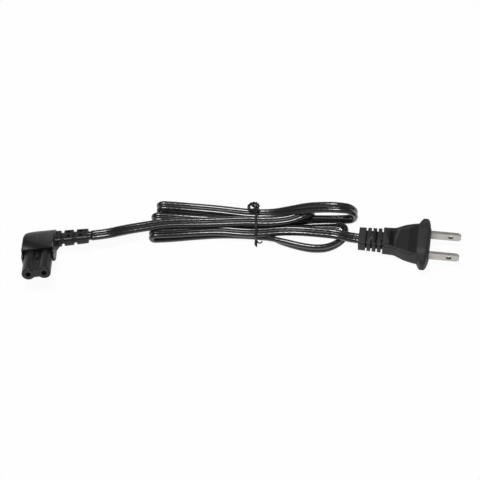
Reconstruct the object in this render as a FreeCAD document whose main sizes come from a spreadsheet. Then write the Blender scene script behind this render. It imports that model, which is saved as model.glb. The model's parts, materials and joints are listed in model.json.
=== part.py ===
import FreeCAD, Part
import math
import os
import re
import Sketcher
from FreeCAD import Placement, Rotation, Vector

# Two-blade mains plug (type A) on a flat twin flex that is folded into a tied hank
# and ends in a right-angled figure-8 connector. Millimetres and degrees.
#
# Row frame: +X along the plug towards its blade tips, +Z up, floor at Z = 0, origin at
# the bottom centre of the plug's box.
# Plug frame: x along the blades with 0 on the mating face, y across them, z normal to
# the flat sides. Connector frame: x along its cable, y from its face to its back.
# Hank frame: origin on the floor below the tie, x along the hank towards the plug.

SIZES = {
    # blades
    "blade_pitch": 12.7,
    "blade_width": 6.35,
    "blade_thickness": 1.5,
    "blade_length": 17.6,
    "blade_hole": 3.2,
    "blade_hole_setback": 11.9,
    "blade_tip_chamfer": 1.5,
    "blade_root": 8.5,
    "blade_tail": 4.0,
    "blade_tail_width": 3.0,
    # crimp barrels and bare wires
    "barrel_wall": 0.5,
    "barrel_length": 3.4,
    "barrel_bite": 0.25,
    "blade_barrel_bite": 0.2,
    "wire_radius": 0.8,
    "wire_bare": 1.2,
    # hard insert that bridges the blades
    "insert_length": 16.8,
    "insert_height": 8.4,
    "insert_depth": 7.0,
    "insert_proud": 0.25,
    "insert_corner": 1.0,
    # flange of the plug
    "flange_length": 29.2,
    "flange_height": 14.6,
    "flange_flat_share": 0.56,
    "flange_nose": 7.4,
    "flange_thickness": 4.0,
    "flange_shoulder_round": 9.0,
    "flange_nose_round": 3.2,
    "flange_rim_round": 1.4,
    "flange_rear_round": 0.5,
    # bell-shaped grip
    "grip_width": 19.4,
    "grip_height": 12.2,
    "grip_shoulder": 11.2,
    "grip_neck": 19.2,
    "grip_blend": 13.0,
    "grip_edge_round": 0.9,
    "scoop_start": 17.5,
    "scoop_foot": 10.5,
    "scoop_height": 8.6,
    "scoop_blend": 9.0,
    # sunk panel on both flat sides of the grip
    "panel_sink": 0.55,
    "panel_rim": 1.0,
    "panel_tip": 20.4,
    "panel_shoulder": 18.2,
    "cut_margin": 1.0,
    # collar and strain relief
    "collar_front": 20.6,
    "collar_rear": 24.2,
    "collar_width": 11.7,
    "collar_height": 8.5,
    "relief_rear": 36.6,
    "relief_width": 10.6,
    "relief_rear_width": 9.5,
    "relief_height": 7.7,
    "relief_edge_round": 1.2,
    "relief_gap": 0.86,
    "relief_pitch": 2.66,
    "relief_first_gap": 24.63,
    "relief_core_width": 7.4,
    "relief_core_height": 4.6,
    "relief_bridge": 3.4,
    # plug's place: it rests on its flange's near lower edge, its tail held up by the flex
    "plug_pitch": 2.0,
    "plug_roll": 3.2,
    # flat twin flex
    "core_radius": 1.5,
    "parted_core": 1.44,
    "flex_web": 1.3,
    "flex_split": 23.0,
    "core_turn_share": 0.8,
    "exit_run": 9.0,
    # figure-8 nose of the connector
    "contact_pitch": 8.6,
    "nose_radius": 3.6,
    "nose_length": 16.5,
    "nose_waist": 4.7,
    "nose_rim_round": 0.5,
    "mouth_radius": 1.45,
    "mouth_depth": 2.2,
    "shank_length": 2.8,
    "shank_width": 14.2,
    "shank_height": 6.0,
    "key_width": 1.3,
    "key_length": 4.5,
    "key_setback": 1.5,
    "key_height": 0.7,
    # contact sleeves
    "sleeve_bore": 1.2,
    "sleeve_wall": 0.5,
    "sleeve_length": 9.5,
    "sleeve_slit": 0.5,
    "sleeve_seat": 0.05,
    "sleeve_tail": 1.8,
    "sleeve_tail_width": 1.6,
    "sleeve_tail_drop": 1.5,
    # connector body
    "elbow_front": 12.9,
    "cheek_height": 4.6,
    "elbow_width": 17.7,
    "elbow_back": 34.2,
    "elbow_height": 9.2,
    "elbow_corner": 7.0,
    "elbow_edge_round": 0.8,
    "elbow_bevel": 3.6,
    "elbow_bevel_drop": 1.7,
    "web_start": 19.4,
    "web_reach": 5.0,
    "web_height": 6.4,
    # strain relief of the connector
    "boot_axis": 29.4,
    "boot_length": 19.3,
    "boot_root_width": 8.4,
    "boot_root_height": 7.2,
    "boot_taper": 1.6,
    "boot_edge_round": 1.4,
    "boot_overlap": 1.0,
    "notch_first": 4.2,
    "notch_pitch": 6.6,
    "notch_length": 2.3,
    "notch_core": 6.4,
    "pit_first": 8.4,
    "pit_pitch": 6.6,
    "pit_length": 1.6,
    "pit_width": 1.5,
    "pit_spread": 1.25,
    "pit_floor": 2.1,
    # connector's place: its face is tipped up and its cable end is lifted
    "connector_x": -117.6,
    "connector_y": -38.9,
    "connector_roll": -20.0,
    "connector_pitch": 8.0,
    "connector_yaw": 1.5,
    # hank's place and outer shape
    "hank_x": -84.45,
    "hank_y": 3.01,
    "hank_yaw": 7.5,
    "hank_left": 58.3,
    "hank_left_far": 14.5,
    "hank_left_near": 9.8,
    "hank_left_far_end": 54.4,
    "hank_waist_far": 9.3,
    "hank_waist_near": 8.9,
    "hank_layers": 6.4,
    "hank_right": 13.0,
    "ridge_left": 48.0,
    "ridge_width": 6.0,
    "ridge_height": 9.4,
    "ridge_near_left": 4.3,
    "ridge_near_right": 3.4,
    "far_loop_end": 54.6,
    "far_loop_near": 0.2,
    "far_loop_height": 17.9,
    "far_loop_crest": 42.0,
    "far_loop_round": 7.6,
    "far_loop_dip": 1.0,
    "near_loop_end": 46.6,
    "near_loop_depth": 17.6,
    "near_loop_inner": 10.8,
    "near_loop_height": 6.2,
    "near_loop_foot": 13.0,
    "near_loop_bend": 26.0,
    "near_loop_deepest": 33.0,
    "near_loop_ease": 1.6,
    "near_loop_lap": 1.3,
    "near_loop_end_run": 7.0,
    "near_loop_end_drop": 0.8,
    "near_loop_end_rise": 5.0,
    # twist tie
    "tie_width": 2.0,
    "tie_wall": 0.8,
    "tie_height": 9.8,
    "tie_shoulder": 6.8,
    "tie_top_near": 4.2,
    "tie_top_far": 3.4,
    "curl_radius": 3.0,
    "curl_wire": 1.05,
    "curl_x": -1.2,
    "curl_y": 8.2,
    "curl_z": 8.6,
    "tail_length": 2.6,
}

# How far from the plug's middle each core ends: its barrel lies against its blade's inner side.
CORE_OFFSET = "(blade_pitch / 2 - blade_thickness / 2 - wire_radius - barrel_wall + blade_barrel_bite)"

# Routes of the two free runs of the flex in the hank frame, from the plug and from the connector.
PLUG_ROUTE = [(35.6, -6.1, 5.2), (24.0, -5.0, 5.0), (13.0, -4.3, 4.7)]
CONNECTOR_ROUTE = [(-71.6, -6.4, 8.9), (-59.6, -3.6, 8.1), (-48.0, -1.3, 7.9)]

doc = FreeCAD.newDocument("type_a_plug")
sheet = doc.addObject("Spreadsheet::Sheet", "Sizes")
for row, (alias, value) in enumerate(SIZES.items(), start=1):
    sheet.set(f"A{row}", alias.replace("_", " "))
    sheet.set(f"B{row}", str(value))
    sheet.setAlias(f"B{row}", alias)
doc.recompute()


def formula(text):
    """The expression with each size's name written as the sheet's cell."""

    def cell(word):
        return "Sizes." + word[0] if word[0] in SIZES else word[0]

    return re.sub(r"[a-z][a-z_]*", cell, text)


def number(text):
    return float(sheet.evalExpression(formula(text)))


def bind(thing, name, text):
    thing.setExpression(name, formula(text))


def new_body(label):
    body = doc.addObject("PartDesign::Body", label)
    body.Label = label
    return body


def new_sketch(body, name, role, lift=None):
    """A sketch on one of the body's own origin planes, lifted along the plane's normal."""
    sketch = body.newObject("Sketcher::SketchObject", name)
    base = [plane for plane in body.Origin.OriginFeatures if plane.Role == role][0]
    sketch.AttachmentSupport = (base, [""])
    sketch.MapMode = "FlatFace"
    if lift:
        bind(sketch, "AttachmentOffset.Base.z", lift)
    return sketch


def pin_point(sketch, geometry, point, place):
    """Ties a point of the sketch to the sheet by its two distances from the origin."""
    for kind, text in zip(("DistanceX", "DistanceY"), place):
        index = sketch.addConstraint(Sketcher.Constraint(kind, -1, 1, geometry, point, number(text)))
        bind(sketch, f"Constraints[{index}]", text)


def add_polygon(sketch, corners):
    points = [Vector(number(x), number(y), 0) for x, y in corners]
    first = sketch.GeometryCount
    count = len(points)
    for i in range(count):
        sketch.addGeometry(Part.LineSegment(points[i], points[(i + 1) % count]), False)
    for i in range(count):
        sketch.addConstraint(Sketcher.Constraint("Coincident", first + i, 2, first + (i + 1) % count, 1))
    for i in range(count):
        pin_point(sketch, first + i, 1, corners[i])


def add_rectangle(sketch, left, right, low, high):
    add_polygon(sketch, [(left, low), (right, low), (right, high), (left, high)])


def add_circle(sketch, x, y, radius):
    circle = Part.Circle(Vector(number(x), number(y), 0), Vector(0, 0, 1), number(radius))
    index = sketch.addGeometry(circle, False)
    pin_point(sketch, index, 3, (x, y))
    constraint = sketch.addConstraint(Sketcher.Constraint("Radius", index, number(radius)))
    bind(sketch, f"Constraints[{constraint}]", radius)


def mirrored(corners):
    """A closed outline from its upper half, mirrored in the sketch's x axis."""
    return corners + [(x, f"-({y})") for x, y in reversed(corners)]


def flipped(corners):
    return [(x, f"-({y})") for x, y in corners]


def add_pad(body, sketch, name, length, symmetric=False, reverse=False):
    pad = body.newObject("PartDesign::Pad", name)
    pad.Profile = sketch
    bind(pad, "Length", length)
    pad.SideType = "Symmetric" if symmetric else "One side"
    pad.Reversed = reverse
    doc.recompute()
    return pad


def add_pocket(body, sketch, name, length):
    """A cut to both sides of the sketch, of the given full length."""
    before = body.Shape.Volume
    pocket = body.newObject("PartDesign::Pocket", name)
    pocket.Profile = sketch
    pocket.Type = "Length"
    pocket.SideType = "Symmetric"
    bind(pocket, "Length", length)
    doc.recompute()
    if body.Shape.Volume >= before:
        raise ValueError(f"{name} cuts nothing")
    return pocket


def repeat_x(body, feature, name, count, span):
    """Copies of a feature along the body's x axis, the last one a span away."""
    pattern = body.newObject("PartDesign::LinearPattern", name)
    pattern.Originals = [feature]
    axis = [line for line in body.Origin.OriginFeatures if line.Role == "X_Axis"][0]
    pattern.Direction = (axis, [""])
    pattern.Occurrences = count
    bind(pattern, "Length", span)
    body.Tip = pattern
    doc.recompute()
    return pattern


def add_fillet(body, name, radius, wanted):
    """Rounds the edges of the body's tip that the test picks."""
    base = body.Tip
    edges = [f"Edge{i}" for i, edge in enumerate(base.Shape.Edges, start=1) if wanted(edge)]
    if not edges:
        raise ValueError(f"{name} finds no edge")
    fillet = body.newObject("PartDesign::Fillet", name)
    fillet.Base = (base, edges)
    bind(fillet, "Radius", radius)
    doc.recompute()
    if "Invalid" in fillet.State or not fillet.Shape.isValid():
        raise ValueError(f"{name} fails")
    return fillet


def near(value, target, slack=0.01):
    return abs(value - target) < slack


def runs_along(edge, axis):
    """True for a straight edge along an axis (0, 1 or 2)."""
    if edge.Curve.TypeId != "Part::GeomLine":
        return False
    ends = edge.lastVertex().Point - edge.firstVertex().Point
    return abs(ends[axis]) > 0.999 * ends.Length


def cut(label, base, tools):
    fused = tools[0]
    if len(tools) > 1:
        fused = doc.addObject("Part::MultiFuse", label + "_tools")
        fused.Shapes = tools
    result = doc.addObject("Part::Cut", label)
    result.Label = label
    result.Base = base
    result.Tool = fused
    doc.recompute()
    return result


def solid_feature(label, shape):
    feature = doc.addObject("Part::Feature", label)
    feature.Label = label
    feature.Shape = shape
    return feature


def tangent_arc(before, corner, after, reach):
    """The arc that turns from one run into the next, meeting both a reach from their corner."""
    back = (before - corner).normalize()
    ahead = (after - corner).normalize()
    middle = (back + ahead).normalize()
    half = math.acos(max(-1.0, min(1.0, back.dot(ahead)))) / 2
    radius = reach * math.tan(half)
    centre = corner + middle * (reach / math.cos(half))
    arc = Part.Arc(corner + back * reach, centre - middle * radius, corner + ahead * reach)
    return arc, radius


def smooth_path(points, share=0.45):
    """Straight runs joined by tangent arcs, each as large as its shorter run allows."""
    edges = []
    radii = []
    start = points[0]
    for before, corner, after in zip(points, points[1:], points[2:]):
        reach = share * min((corner - before).Length, (after - corner).Length)
        arc, radius = tangent_arc(Vector(before), Vector(corner), Vector(after), reach)
        edges.append(Part.LineSegment(start, arc.StartPoint).toShape())
        edges.append(arc.toShape())
        radii.append(radius)
        start = arc.EndPoint
    edges.append(Part.LineSegment(start, points[-1]).toShape())
    return Part.Wire(edges), radii


def flex_outline(centre, along, across):
    """The flat flex's plain outline, a slot as wide as two cores, square to its run."""
    core = number("core_radius")
    lift = along.cross(across).normalize() * core
    side = across * core
    left, right = centre - side, centre + side
    return Part.Wire([
        Part.LineSegment(left + lift, right + lift).toShape(),
        Part.Arc(right + lift, right + across * core, right - lift).toShape(),
        Part.LineSegment(right - lift, left - lift).toShape(),
        Part.Arc(left - lift, left - across * core, left + lift).toShape(),
    ])


def flex_tube(name, points):
    """The flat flex along a route, its width level, with its volume compared to section times length."""
    path, radii = smooth_path(points)
    along = (points[1] - points[0]).normalize()
    across = Vector(0, 0, 1).cross(along).normalize()
    outline = flex_outline(points[0], along, across)
    sweep = Part.BRepOffsetAPI.MakePipeShell(path)
    sweep.setBiNormalMode(Vector(0, 0, 1))
    sweep.add(outline)
    sweep.build()
    sweep.makeSolid()
    tube = sweep.shape()
    expected = Part.Face(outline).Area * path.Length
    listed = ", ".join(f"{radius:.0f}" for radius in radii)
    print(f"{name}: length {path.Length:.1f}, arc radii {listed},"
          f" volume {tube.Volume / expected:.3f} of expected")
    return tube


def make_blade(label, side):
    """A flat strip with a hole and a chamfered tip, its tail rolled into a crimp barrel."""
    body = new_body(label)
    at = f"{side} * blade_pitch / 2"
    half = "blade_width / 2"
    strip = new_sketch(body, label + "_outline", "XZ_Plane", f"-({at})")
    add_polygon(strip, mirrored([
        ("-blade_root - blade_tail", "blade_tail_width / 2"),
        ("-blade_root", "blade_tail_width / 2"),
        ("-blade_root", half),
        ("blade_length - blade_tip_chamfer", half),
        ("blade_length", f"{half} - blade_tip_chamfer"),
    ]))
    add_pad(body, strip, label + "_strip", "blade_thickness", symmetric=True)
    hole = new_sketch(body, label + "_hole_outline", "XZ_Plane", f"-({at})")
    add_circle(hole, "blade_hole_setback", "0", "blade_hole / 2")
    add_pocket(body, hole, label + "_hole", "2 * blade_thickness")
    barrel = new_sketch(body, label + "_barrel_outline", "YZ_Plane", "-blade_root - blade_tail")
    add_circle(barrel, f"{side} * {CORE_OFFSET}", "0", "wire_radius + barrel_wall")
    add_circle(barrel, f"{side} * {CORE_OFFSET}", "0", "wire_radius")
    add_pad(body, barrel, label + "_barrel", "barrel_length")
    add_fillet(body, label + "_tip_round", "blade_thickness / 3",
               lambda edge: near(edge.BoundBox.XMin, number("blade_length")) and edge.Length > 1.0
               and runs_along(edge, 2))
    return body


def make_insert():
    """The hard bridge, a block with slots that the blades fill."""
    body = new_body("plug_insert_block")
    face = new_sketch(body, "insert_outline", "YZ_Plane", "-insert_depth")
    add_rectangle(face, "-insert_length / 2", "insert_length / 2", "-insert_height / 2", "insert_height / 2")
    add_pad(body, face, "insert_block", "insert_depth + insert_proud")
    add_fillet(body, "insert_corners", "insert_corner", lambda edge: runs_along(edge, 0))
    return body


def make_grip():
    """Grip, collar and strain relief: one plan outline, thinned by one side profile, then grooved."""
    body = new_body("plug_grip")
    plan = new_sketch(body, "grip_plan", "XY_Plane")
    add_polygon(plan, mirrored([
        ("-relief_rear", "relief_rear_width / 2"),
        ("-collar_rear", "relief_width / 2"),
        ("-collar_rear", "collar_width / 2"),
        ("-grip_neck", "collar_width / 2"),
        ("-grip_shoulder", "grip_width / 2"),
        ("-flange_thickness / 2", "grip_width / 2"),
    ]))
    add_pad(body, plan, "grip_blank", "flange_height", symmetric=True)
    blend_at = [number("grip_neck"), number("grip_shoulder")]
    add_fillet(body, "grip_blends", "grip_blend",
               lambda edge: runs_along(edge, 2) and any(near(-edge.BoundBox.XMax, x) for x in blend_at))
    profile = new_sketch(body, "side_profile", "XZ_Plane")
    thinned = [
        ("-relief_rear - cut_margin", "relief_height / 2"),
        ("-collar_rear", "relief_height / 2"),
        ("-collar_rear", "collar_height / 2"),
        ("-scoop_start", "scoop_height / 2"),
        ("-scoop_foot", "scoop_height / 2"),
        ("-flange_thickness", "grip_height / 2"),
        ("0", "grip_height / 2"),
        ("0", "flange_height"),
        ("-relief_rear - cut_margin", "flange_height"),
    ]
    add_polygon(profile, thinned)
    add_polygon(profile, flipped(thinned))
    add_pocket(body, profile, "side_profile_cut", "2 * grip_width")
    add_fillet(body, "scoop_blends", "scoop_blend",
               lambda edge: runs_along(edge, 1) and near(-edge.BoundBox.XMax, number("scoop_foot")))
    neck = number("grip_neck")
    add_fillet(body, "grip_edges", "grip_edge_round",
               lambda edge: edge.BoundBox.XLength > 0.5 and edge.BoundBox.XMin > -neck
               and near(abs(edge.CenterOfMass.y), number("grip_width / 2"), 0.8))
    rear = number("relief_rear")
    collar = number("collar_rear")
    add_fillet(body, "relief_edges", "relief_edge_round",
               lambda edge: edge.BoundBox.XMax < -collar + 0.01
               and edge.BoundBox.XLength > (rear - collar) / 2)
    return body


def add_relief_gaps(body):
    """Four gaps in the strain relief: two run all round, two leave a bridge on each flat side."""
    beyond = "collar_width"
    full = new_sketch(body, "ring_gap_outline", "YZ_Plane", "-relief_first_gap - 3 * relief_pitch")
    add_rectangle(full, f"-{beyond}", beyond, f"-{beyond}", beyond)
    add_rectangle(full, "-relief_core_width / 2", "relief_core_width / 2",
                  "-relief_core_height / 2", "relief_core_height / 2")
    ring = add_pocket(body, full, "ring_gap", "relief_gap")
    repeat_x(body, ring, "ring_gaps", 2, "2 * relief_pitch")
    part = new_sketch(body, "side_gap_outline", "YZ_Plane", "-relief_first_gap - 2 * relief_pitch")
    hook = [
        ("relief_bridge / 2", beyond),
        ("relief_bridge / 2", "relief_core_height / 2"),
        ("relief_core_width / 2", "relief_core_height / 2"),
        ("relief_core_width / 2", "-relief_core_height / 2"),
        ("relief_bridge / 2", "-relief_core_height / 2"),
        ("relief_bridge / 2", f"-{beyond}"),
        (beyond, f"-{beyond}"),
        (beyond, beyond),
    ]
    add_polygon(part, hook)
    add_polygon(part, [(f"-({y})", z) for y, z in hook])
    side = add_pocket(body, part, "side_gap", "relief_gap")
    repeat_x(body, side, "side_gaps", 2, "2 * relief_pitch")


def make_flange():
    """The flange as a body of its own, so its rounds hold whether the grip is smaller or larger."""
    body = new_body("plug_flange")
    outline = new_sketch(body, "flange_outline", "YZ_Plane", "-flange_thickness")
    flat_end = "flange_length * flange_flat_share / 2"
    quarter = [("flange_length / 2", "flange_nose / 2"), (flat_end, "flange_height / 2")]
    upper = quarter + [(f"-({y})", z) for y, z in reversed(quarter)]
    add_polygon(outline, mirrored(upper))
    add_pad(body, outline, "flange", "flange_thickness")

    def corner_at(y):
        return lambda edge: runs_along(edge, 0) and near(abs(edge.CenterOfMass.y), y)

    def rim_at(x):
        return lambda edge: edge.BoundBox.XLength < 0.01 and near(edge.BoundBox.XMin, x)

    add_fillet(body, "flange_noses", "flange_nose_round", corner_at(number("flange_length / 2")))
    add_fillet(body, "flange_shoulders", "flange_shoulder_round", corner_at(number(flat_end)))
    add_fillet(body, "flange_front_rim", "flange_rim_round", rim_at(0.0))
    add_fillet(body, "flange_rear_rim", "flange_rear_round", rim_at(-number("flange_thickness")))
    return body


def make_panel_cut():
    """What sinks the grip's panels: a tongue-shaped outline, as deep as the panel at every place."""
    tongue = new_body("panel_tongue")
    outline = new_sketch(tongue, "panel_outline", "XY_Plane")
    inner = "grip_width / 2 - panel_rim"
    add_polygon(outline, mirrored([
        ("-panel_tip", "collar_width / 5"),
        ("-panel_shoulder", "collar_width / 2 - panel_rim"),
        ("-grip_shoulder", inner),
        ("-flange_thickness", inner),
    ]))
    add_pad(tongue, outline, "panel_prism", "flange_height", symmetric=True)
    for name, radius, at in (("panel_tips", "collar_width / 6", "panel_tip"),
                             ("panel_bends", "collar_width / 4", "panel_shoulder"),
                             ("panel_shoulders", "grip_blend", "grip_shoulder")):
        place = number(at)
        add_fillet(tongue, name, radius,
                   lambda edge: runs_along(edge, 2) and near(-edge.BoundBox.XMax, place))
    depth = new_body("panel_depth")
    depth.AllowCompound = True
    profile = new_sketch(depth, "panel_profile", "XZ_Plane")
    floor = [
        ("-panel_tip - cut_margin", "scoop_height / 2 - panel_sink"),
        ("-scoop_foot", "scoop_height / 2 - panel_sink"),
        ("-flange_thickness", "grip_height / 2 - panel_sink"),
        ("-flange_thickness", "flange_height"),
        ("-panel_tip - cut_margin", "flange_height"),
    ]
    add_polygon(profile, floor)
    add_polygon(profile, flipped(floor))
    add_pad(depth, profile, "panel_layers", "2 * grip_width", symmetric=True)
    foot = number("scoop_foot")
    add_fillet(depth, "panel_scoops", "scoop_blend",
               lambda edge: runs_along(edge, 1) and near(-edge.BoundBox.XMax, foot))
    panel = doc.addObject("Part::MultiCommon", "plug_panels")
    panel.Shapes = [tongue, depth]
    doc.recompute()
    return tongue, depth, panel


def core_shift(x_from, x_to, y_from, y_to, radius):
    """A round core that shifts from one line to a parallel one by two equal arcs."""
    length = x_to - x_from
    rise = y_to - y_from
    bend = (length * length + rise * rise) / (4 * abs(rise))
    middle = Vector((x_from + x_to) / 2, (y_from + y_to) / 2, 0)
    turn = math.copysign(1.0, rise)
    half = math.asin(length / 2 / bend) / 2
    first_centre = Vector(x_from, y_from + turn * bend, 0)
    second_centre = Vector(x_to, y_to - turn * bend, 0)
    way = Vector(math.sin(half), -turn * math.cos(half), 0) * bend
    first = Part.Arc(Vector(x_from, y_from, 0), first_centre + way, middle)
    second = Part.Arc(middle, second_centre - way, Vector(x_to, y_to, 0))
    path = Part.Wire([first.toShape(), second.toShape()])
    ring = Part.Wire([Part.Circle(Vector(x_from, y_from, 0), Vector(1, 0, 0), radius).toShape()])
    return path.makePipeShell([ring], True, False)


def flex_stub(x_from, x_to):
    """The flat flex along x with its two cores and the web between them."""
    core = number("core_radius")
    web = number("flex_web")
    parts = [Part.makeCylinder(core, x_to - x_from, Vector(x_from, side * core, 0), Vector(1, 0, 0))
             for side in (-1, 1)]
    parts.append(Part.makeBox(x_to - x_from, 2 * core, web, Vector(x_from, -core, -web / 2)))
    return parts[0].fuse(parts[1:])


def make_plug_flex_end():
    """The flex's end in the plug: flat through the strain relief, then parted to the two barrels."""
    rear = -number("relief_rear")
    split = -number("flex_split")
    end = -number("blade_root + blade_tail + wire_bare")
    core = number("core_radius")
    offset = number(CORE_OFFSET)
    shape = flex_stub(rear, split)
    cores = [core_shift(split, end, side * core, side * offset, core) for side in (-1, 1)]
    return solid_feature("flex_end_plug", shape.fuse(cores).removeSplitter())


def make_plug_wire(label, side):
    start = -number("blade_root + blade_tail + wire_bare")
    length = number("wire_bare + barrel_length")
    at = Vector(start, side * number(CORE_OFFSET), 0)
    return solid_feature(label, Part.makeCylinder(number("wire_radius"), length, at, Vector(1, 0, 0)))


def make_nose():
    """The figure-8 nose with its two contact holes and the shank that the overmould grips."""
    body = new_body("connector_insert")
    web = new_sketch(body, "nose_web_outline", "XZ_Plane")
    add_rectangle(web, "-contact_pitch / 2", "contact_pitch / 2", "-nose_waist / 2", "nose_waist / 2")
    add_pad(body, web, "nose_web", "nose_length", reverse=True)
    lobes = new_sketch(body, "nose_lobe_outline", "XZ_Plane")
    for side in (-1, 1):
        add_circle(lobes, f"{side} * contact_pitch / 2", "0", "nose_radius")
    add_pad(body, lobes, "nose_lobes", "nose_length", reverse=True)
    add_fillet(body, "nose_rim", "nose_rim_round",
               lambda edge: near(edge.BoundBox.YMin, 0.0) and near(edge.BoundBox.YMax, 0.0))
    shank = new_sketch(body, "shank_outline", "XZ_Plane", "-nose_length")
    add_rectangle(shank, "-shank_width / 2", "shank_width / 2", "-shank_height / 2", "shank_height / 2")
    add_pad(body, shank, "shank", "shank_length", reverse=True)
    key = new_sketch(body, "key_outline", "XY_Plane", "nose_waist / 2 - key_height")
    add_rectangle(key, "-key_width / 2", "key_width / 2",
                  "nose_length - key_setback - key_length", "nose_length - key_setback")
    add_pad(body, key, "key", "2 * key_height")
    holes = new_sketch(body, "mouth_outline", "XZ_Plane")
    chambers = new_sketch(body, "chamber_outline", "XZ_Plane", "-mouth_depth - nose_length - shank_length")
    for side in (-1, 1):
        add_circle(holes, f"{side} * contact_pitch / 2", "0", "mouth_radius")
        add_circle(chambers, f"{side} * contact_pitch / 2", "0", "sleeve_bore + sleeve_wall + sleeve_seat")
    add_pocket(body, holes, "mouths", "4 * mouth_depth")
    add_pocket(body, chambers, "chambers", "2 * (nose_length + shank_length)")
    return body


def make_sleeve(label, side):
    """A rolled contact: a slit tube, a narrow tail and a crimp barrel round the wire."""
    body = new_body(label)
    at = f"{side} * contact_pitch / 2"
    outer = "sleeve_bore + sleeve_wall"
    ring = new_sketch(body, label + "_ring", "XZ_Plane", "-mouth_depth")
    add_circle(ring, at, "0", outer)
    add_circle(ring, at, "0", "sleeve_bore")
    add_pad(body, ring, label + "_tube", "sleeve_length", reverse=True)
    slit = new_sketch(body, label + "_slit_outline", "XY_Plane", outer)
    add_rectangle(slit, f"{at} - sleeve_slit / 2", f"{at} + sleeve_slit / 2",
                  "mouth_depth - cut_margin", "mouth_depth + sleeve_length - sleeve_wall")
    add_pocket(body, slit, label + "_slit", "2 * sleeve_bore")
    tail = new_sketch(body, label + "_tail_outline", "XY_Plane", "-sleeve_tail_drop")
    add_rectangle(tail, f"{at} - sleeve_tail_width / 2", f"{at} + sleeve_tail_width / 2",
                  "mouth_depth + sleeve_length",
                  "mouth_depth + sleeve_length + sleeve_tail + barrel_length")
    add_pad(body, tail, label + "_tail", "sleeve_wall + barrel_bite / 2")
    barrel_start = "-mouth_depth - sleeve_length - sleeve_tail"
    barrel = new_sketch(body, label + "_barrel_outline", "XZ_Plane", barrel_start)
    add_circle(barrel, at, "0", "wire_radius + barrel_wall + barrel_bite / 2")
    add_circle(barrel, at, "0", "wire_radius")
    add_pad(body, barrel, label + "_barrel", "barrel_length", reverse=True)
    return body


def wire_start():
    return number("mouth_depth + sleeve_length + sleeve_tail")


def make_connector_wire(label, side):
    at = Vector(side * number("contact_pitch / 2"), wire_start(), 0)
    length = number("barrel_length + wire_bare")
    return solid_feature(label, Part.makeCylinder(number("wire_radius"), length, at, Vector(0, 1, 0)))


def make_connector_flex_end():
    """The flex's end in the connector: flat through the strain relief, then turned to the sleeves."""
    axis = number("boot_axis")
    core = number("core_radius")
    pitch = number("contact_pitch")
    outlet = number("elbow_width / 2 + boot_length")
    foot = wire_start() + number("barrel_length + wire_bare")
    stub_end = number("elbow_width / 2")
    shape = flex_stub(stub_end, outlet)
    shape.translate(Vector(0, axis, 0))
    cores = []
    for side in (-1, 1):
        target = Vector(side * pitch / 2, foot, 0)
        line = axis - side * core
        bend = min(line - foot, stub_end - target.x) * number("core_turn_share")
        corner = Vector(target.x, line, 0)
        turn, radius = tangent_arc(Vector(stub_end, line, 0), corner, target, bend)
        edges = [Part.LineSegment(Vector(stub_end, line, 0), turn.StartPoint).toShape(), turn.toShape(),
                 Part.LineSegment(turn.EndPoint, target).toShape()]
        section = Part.Circle(Vector(stub_end, line, 0), Vector(1, 0, 0), number("parted_core"))
        ring = Part.Wire([section.toShape()])
        cores.append(Part.Wire(edges).makePipeShell([ring], True, False))
    return solid_feature("flex_end_connector", shape.fuse(cores).removeSplitter())


def make_boot():
    """The connector's tapered strain relief with its side notches and its pits."""
    body = new_body("connector_shell")
    root = new_sketch(body, "boot_root", "YZ_Plane", "elbow_width / 2 - boot_overlap")
    wide, tall = "boot_root_width / 2", "boot_root_height / 2"
    add_rectangle(root, f"boot_axis - {wide}", f"boot_axis + {wide}", f"-{tall}", tall)
    boot = add_pad(body, root, "boot", "boot_length + boot_overlap")
    bind(boot, "TaperAngle", "-boot_taper")
    doc.recompute()
    half_length = number("boot_length / 2")
    add_fillet(body, "boot_edges", "boot_edge_round", lambda edge: edge.BoundBox.XLength > half_length)
    notch = new_sketch(body, "notch_outline", "XY_Plane")
    left = "elbow_width / 2 + notch_first"
    for low, high in (("boot_axis + notch_core / 2", "boot_axis + boot_root_width"),
                      ("boot_axis - boot_root_width", "boot_axis - notch_core / 2")):
        add_rectangle(notch, left, f"{left} + notch_length", low, high)
    pair = add_pocket(body, notch, "notch_pair", "2 * boot_root_height")
    repeat_x(body, pair, "notch_pairs", 2, "notch_pitch")
    left = "elbow_width / 2 + pit_first"
    for name, sign in (("upper", ""), ("lower", "-")):
        pit = new_sketch(body, name + "_pit_outline", "XY_Plane", f"{sign}(pit_floor + boot_root_height / 2)")
        for middle in ("boot_axis + pit_spread", "boot_axis - pit_spread"):
            add_rectangle(pit, left, f"{left} + pit_length", f"{middle} - pit_width / 2",
                          f"{middle} + pit_width / 2")
        row = add_pocket(body, pit, name + "_pits", "boot_root_height")
        repeat_x(body, row, name + "_pit_rows", 2, "pit_pitch")
    return body


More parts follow.
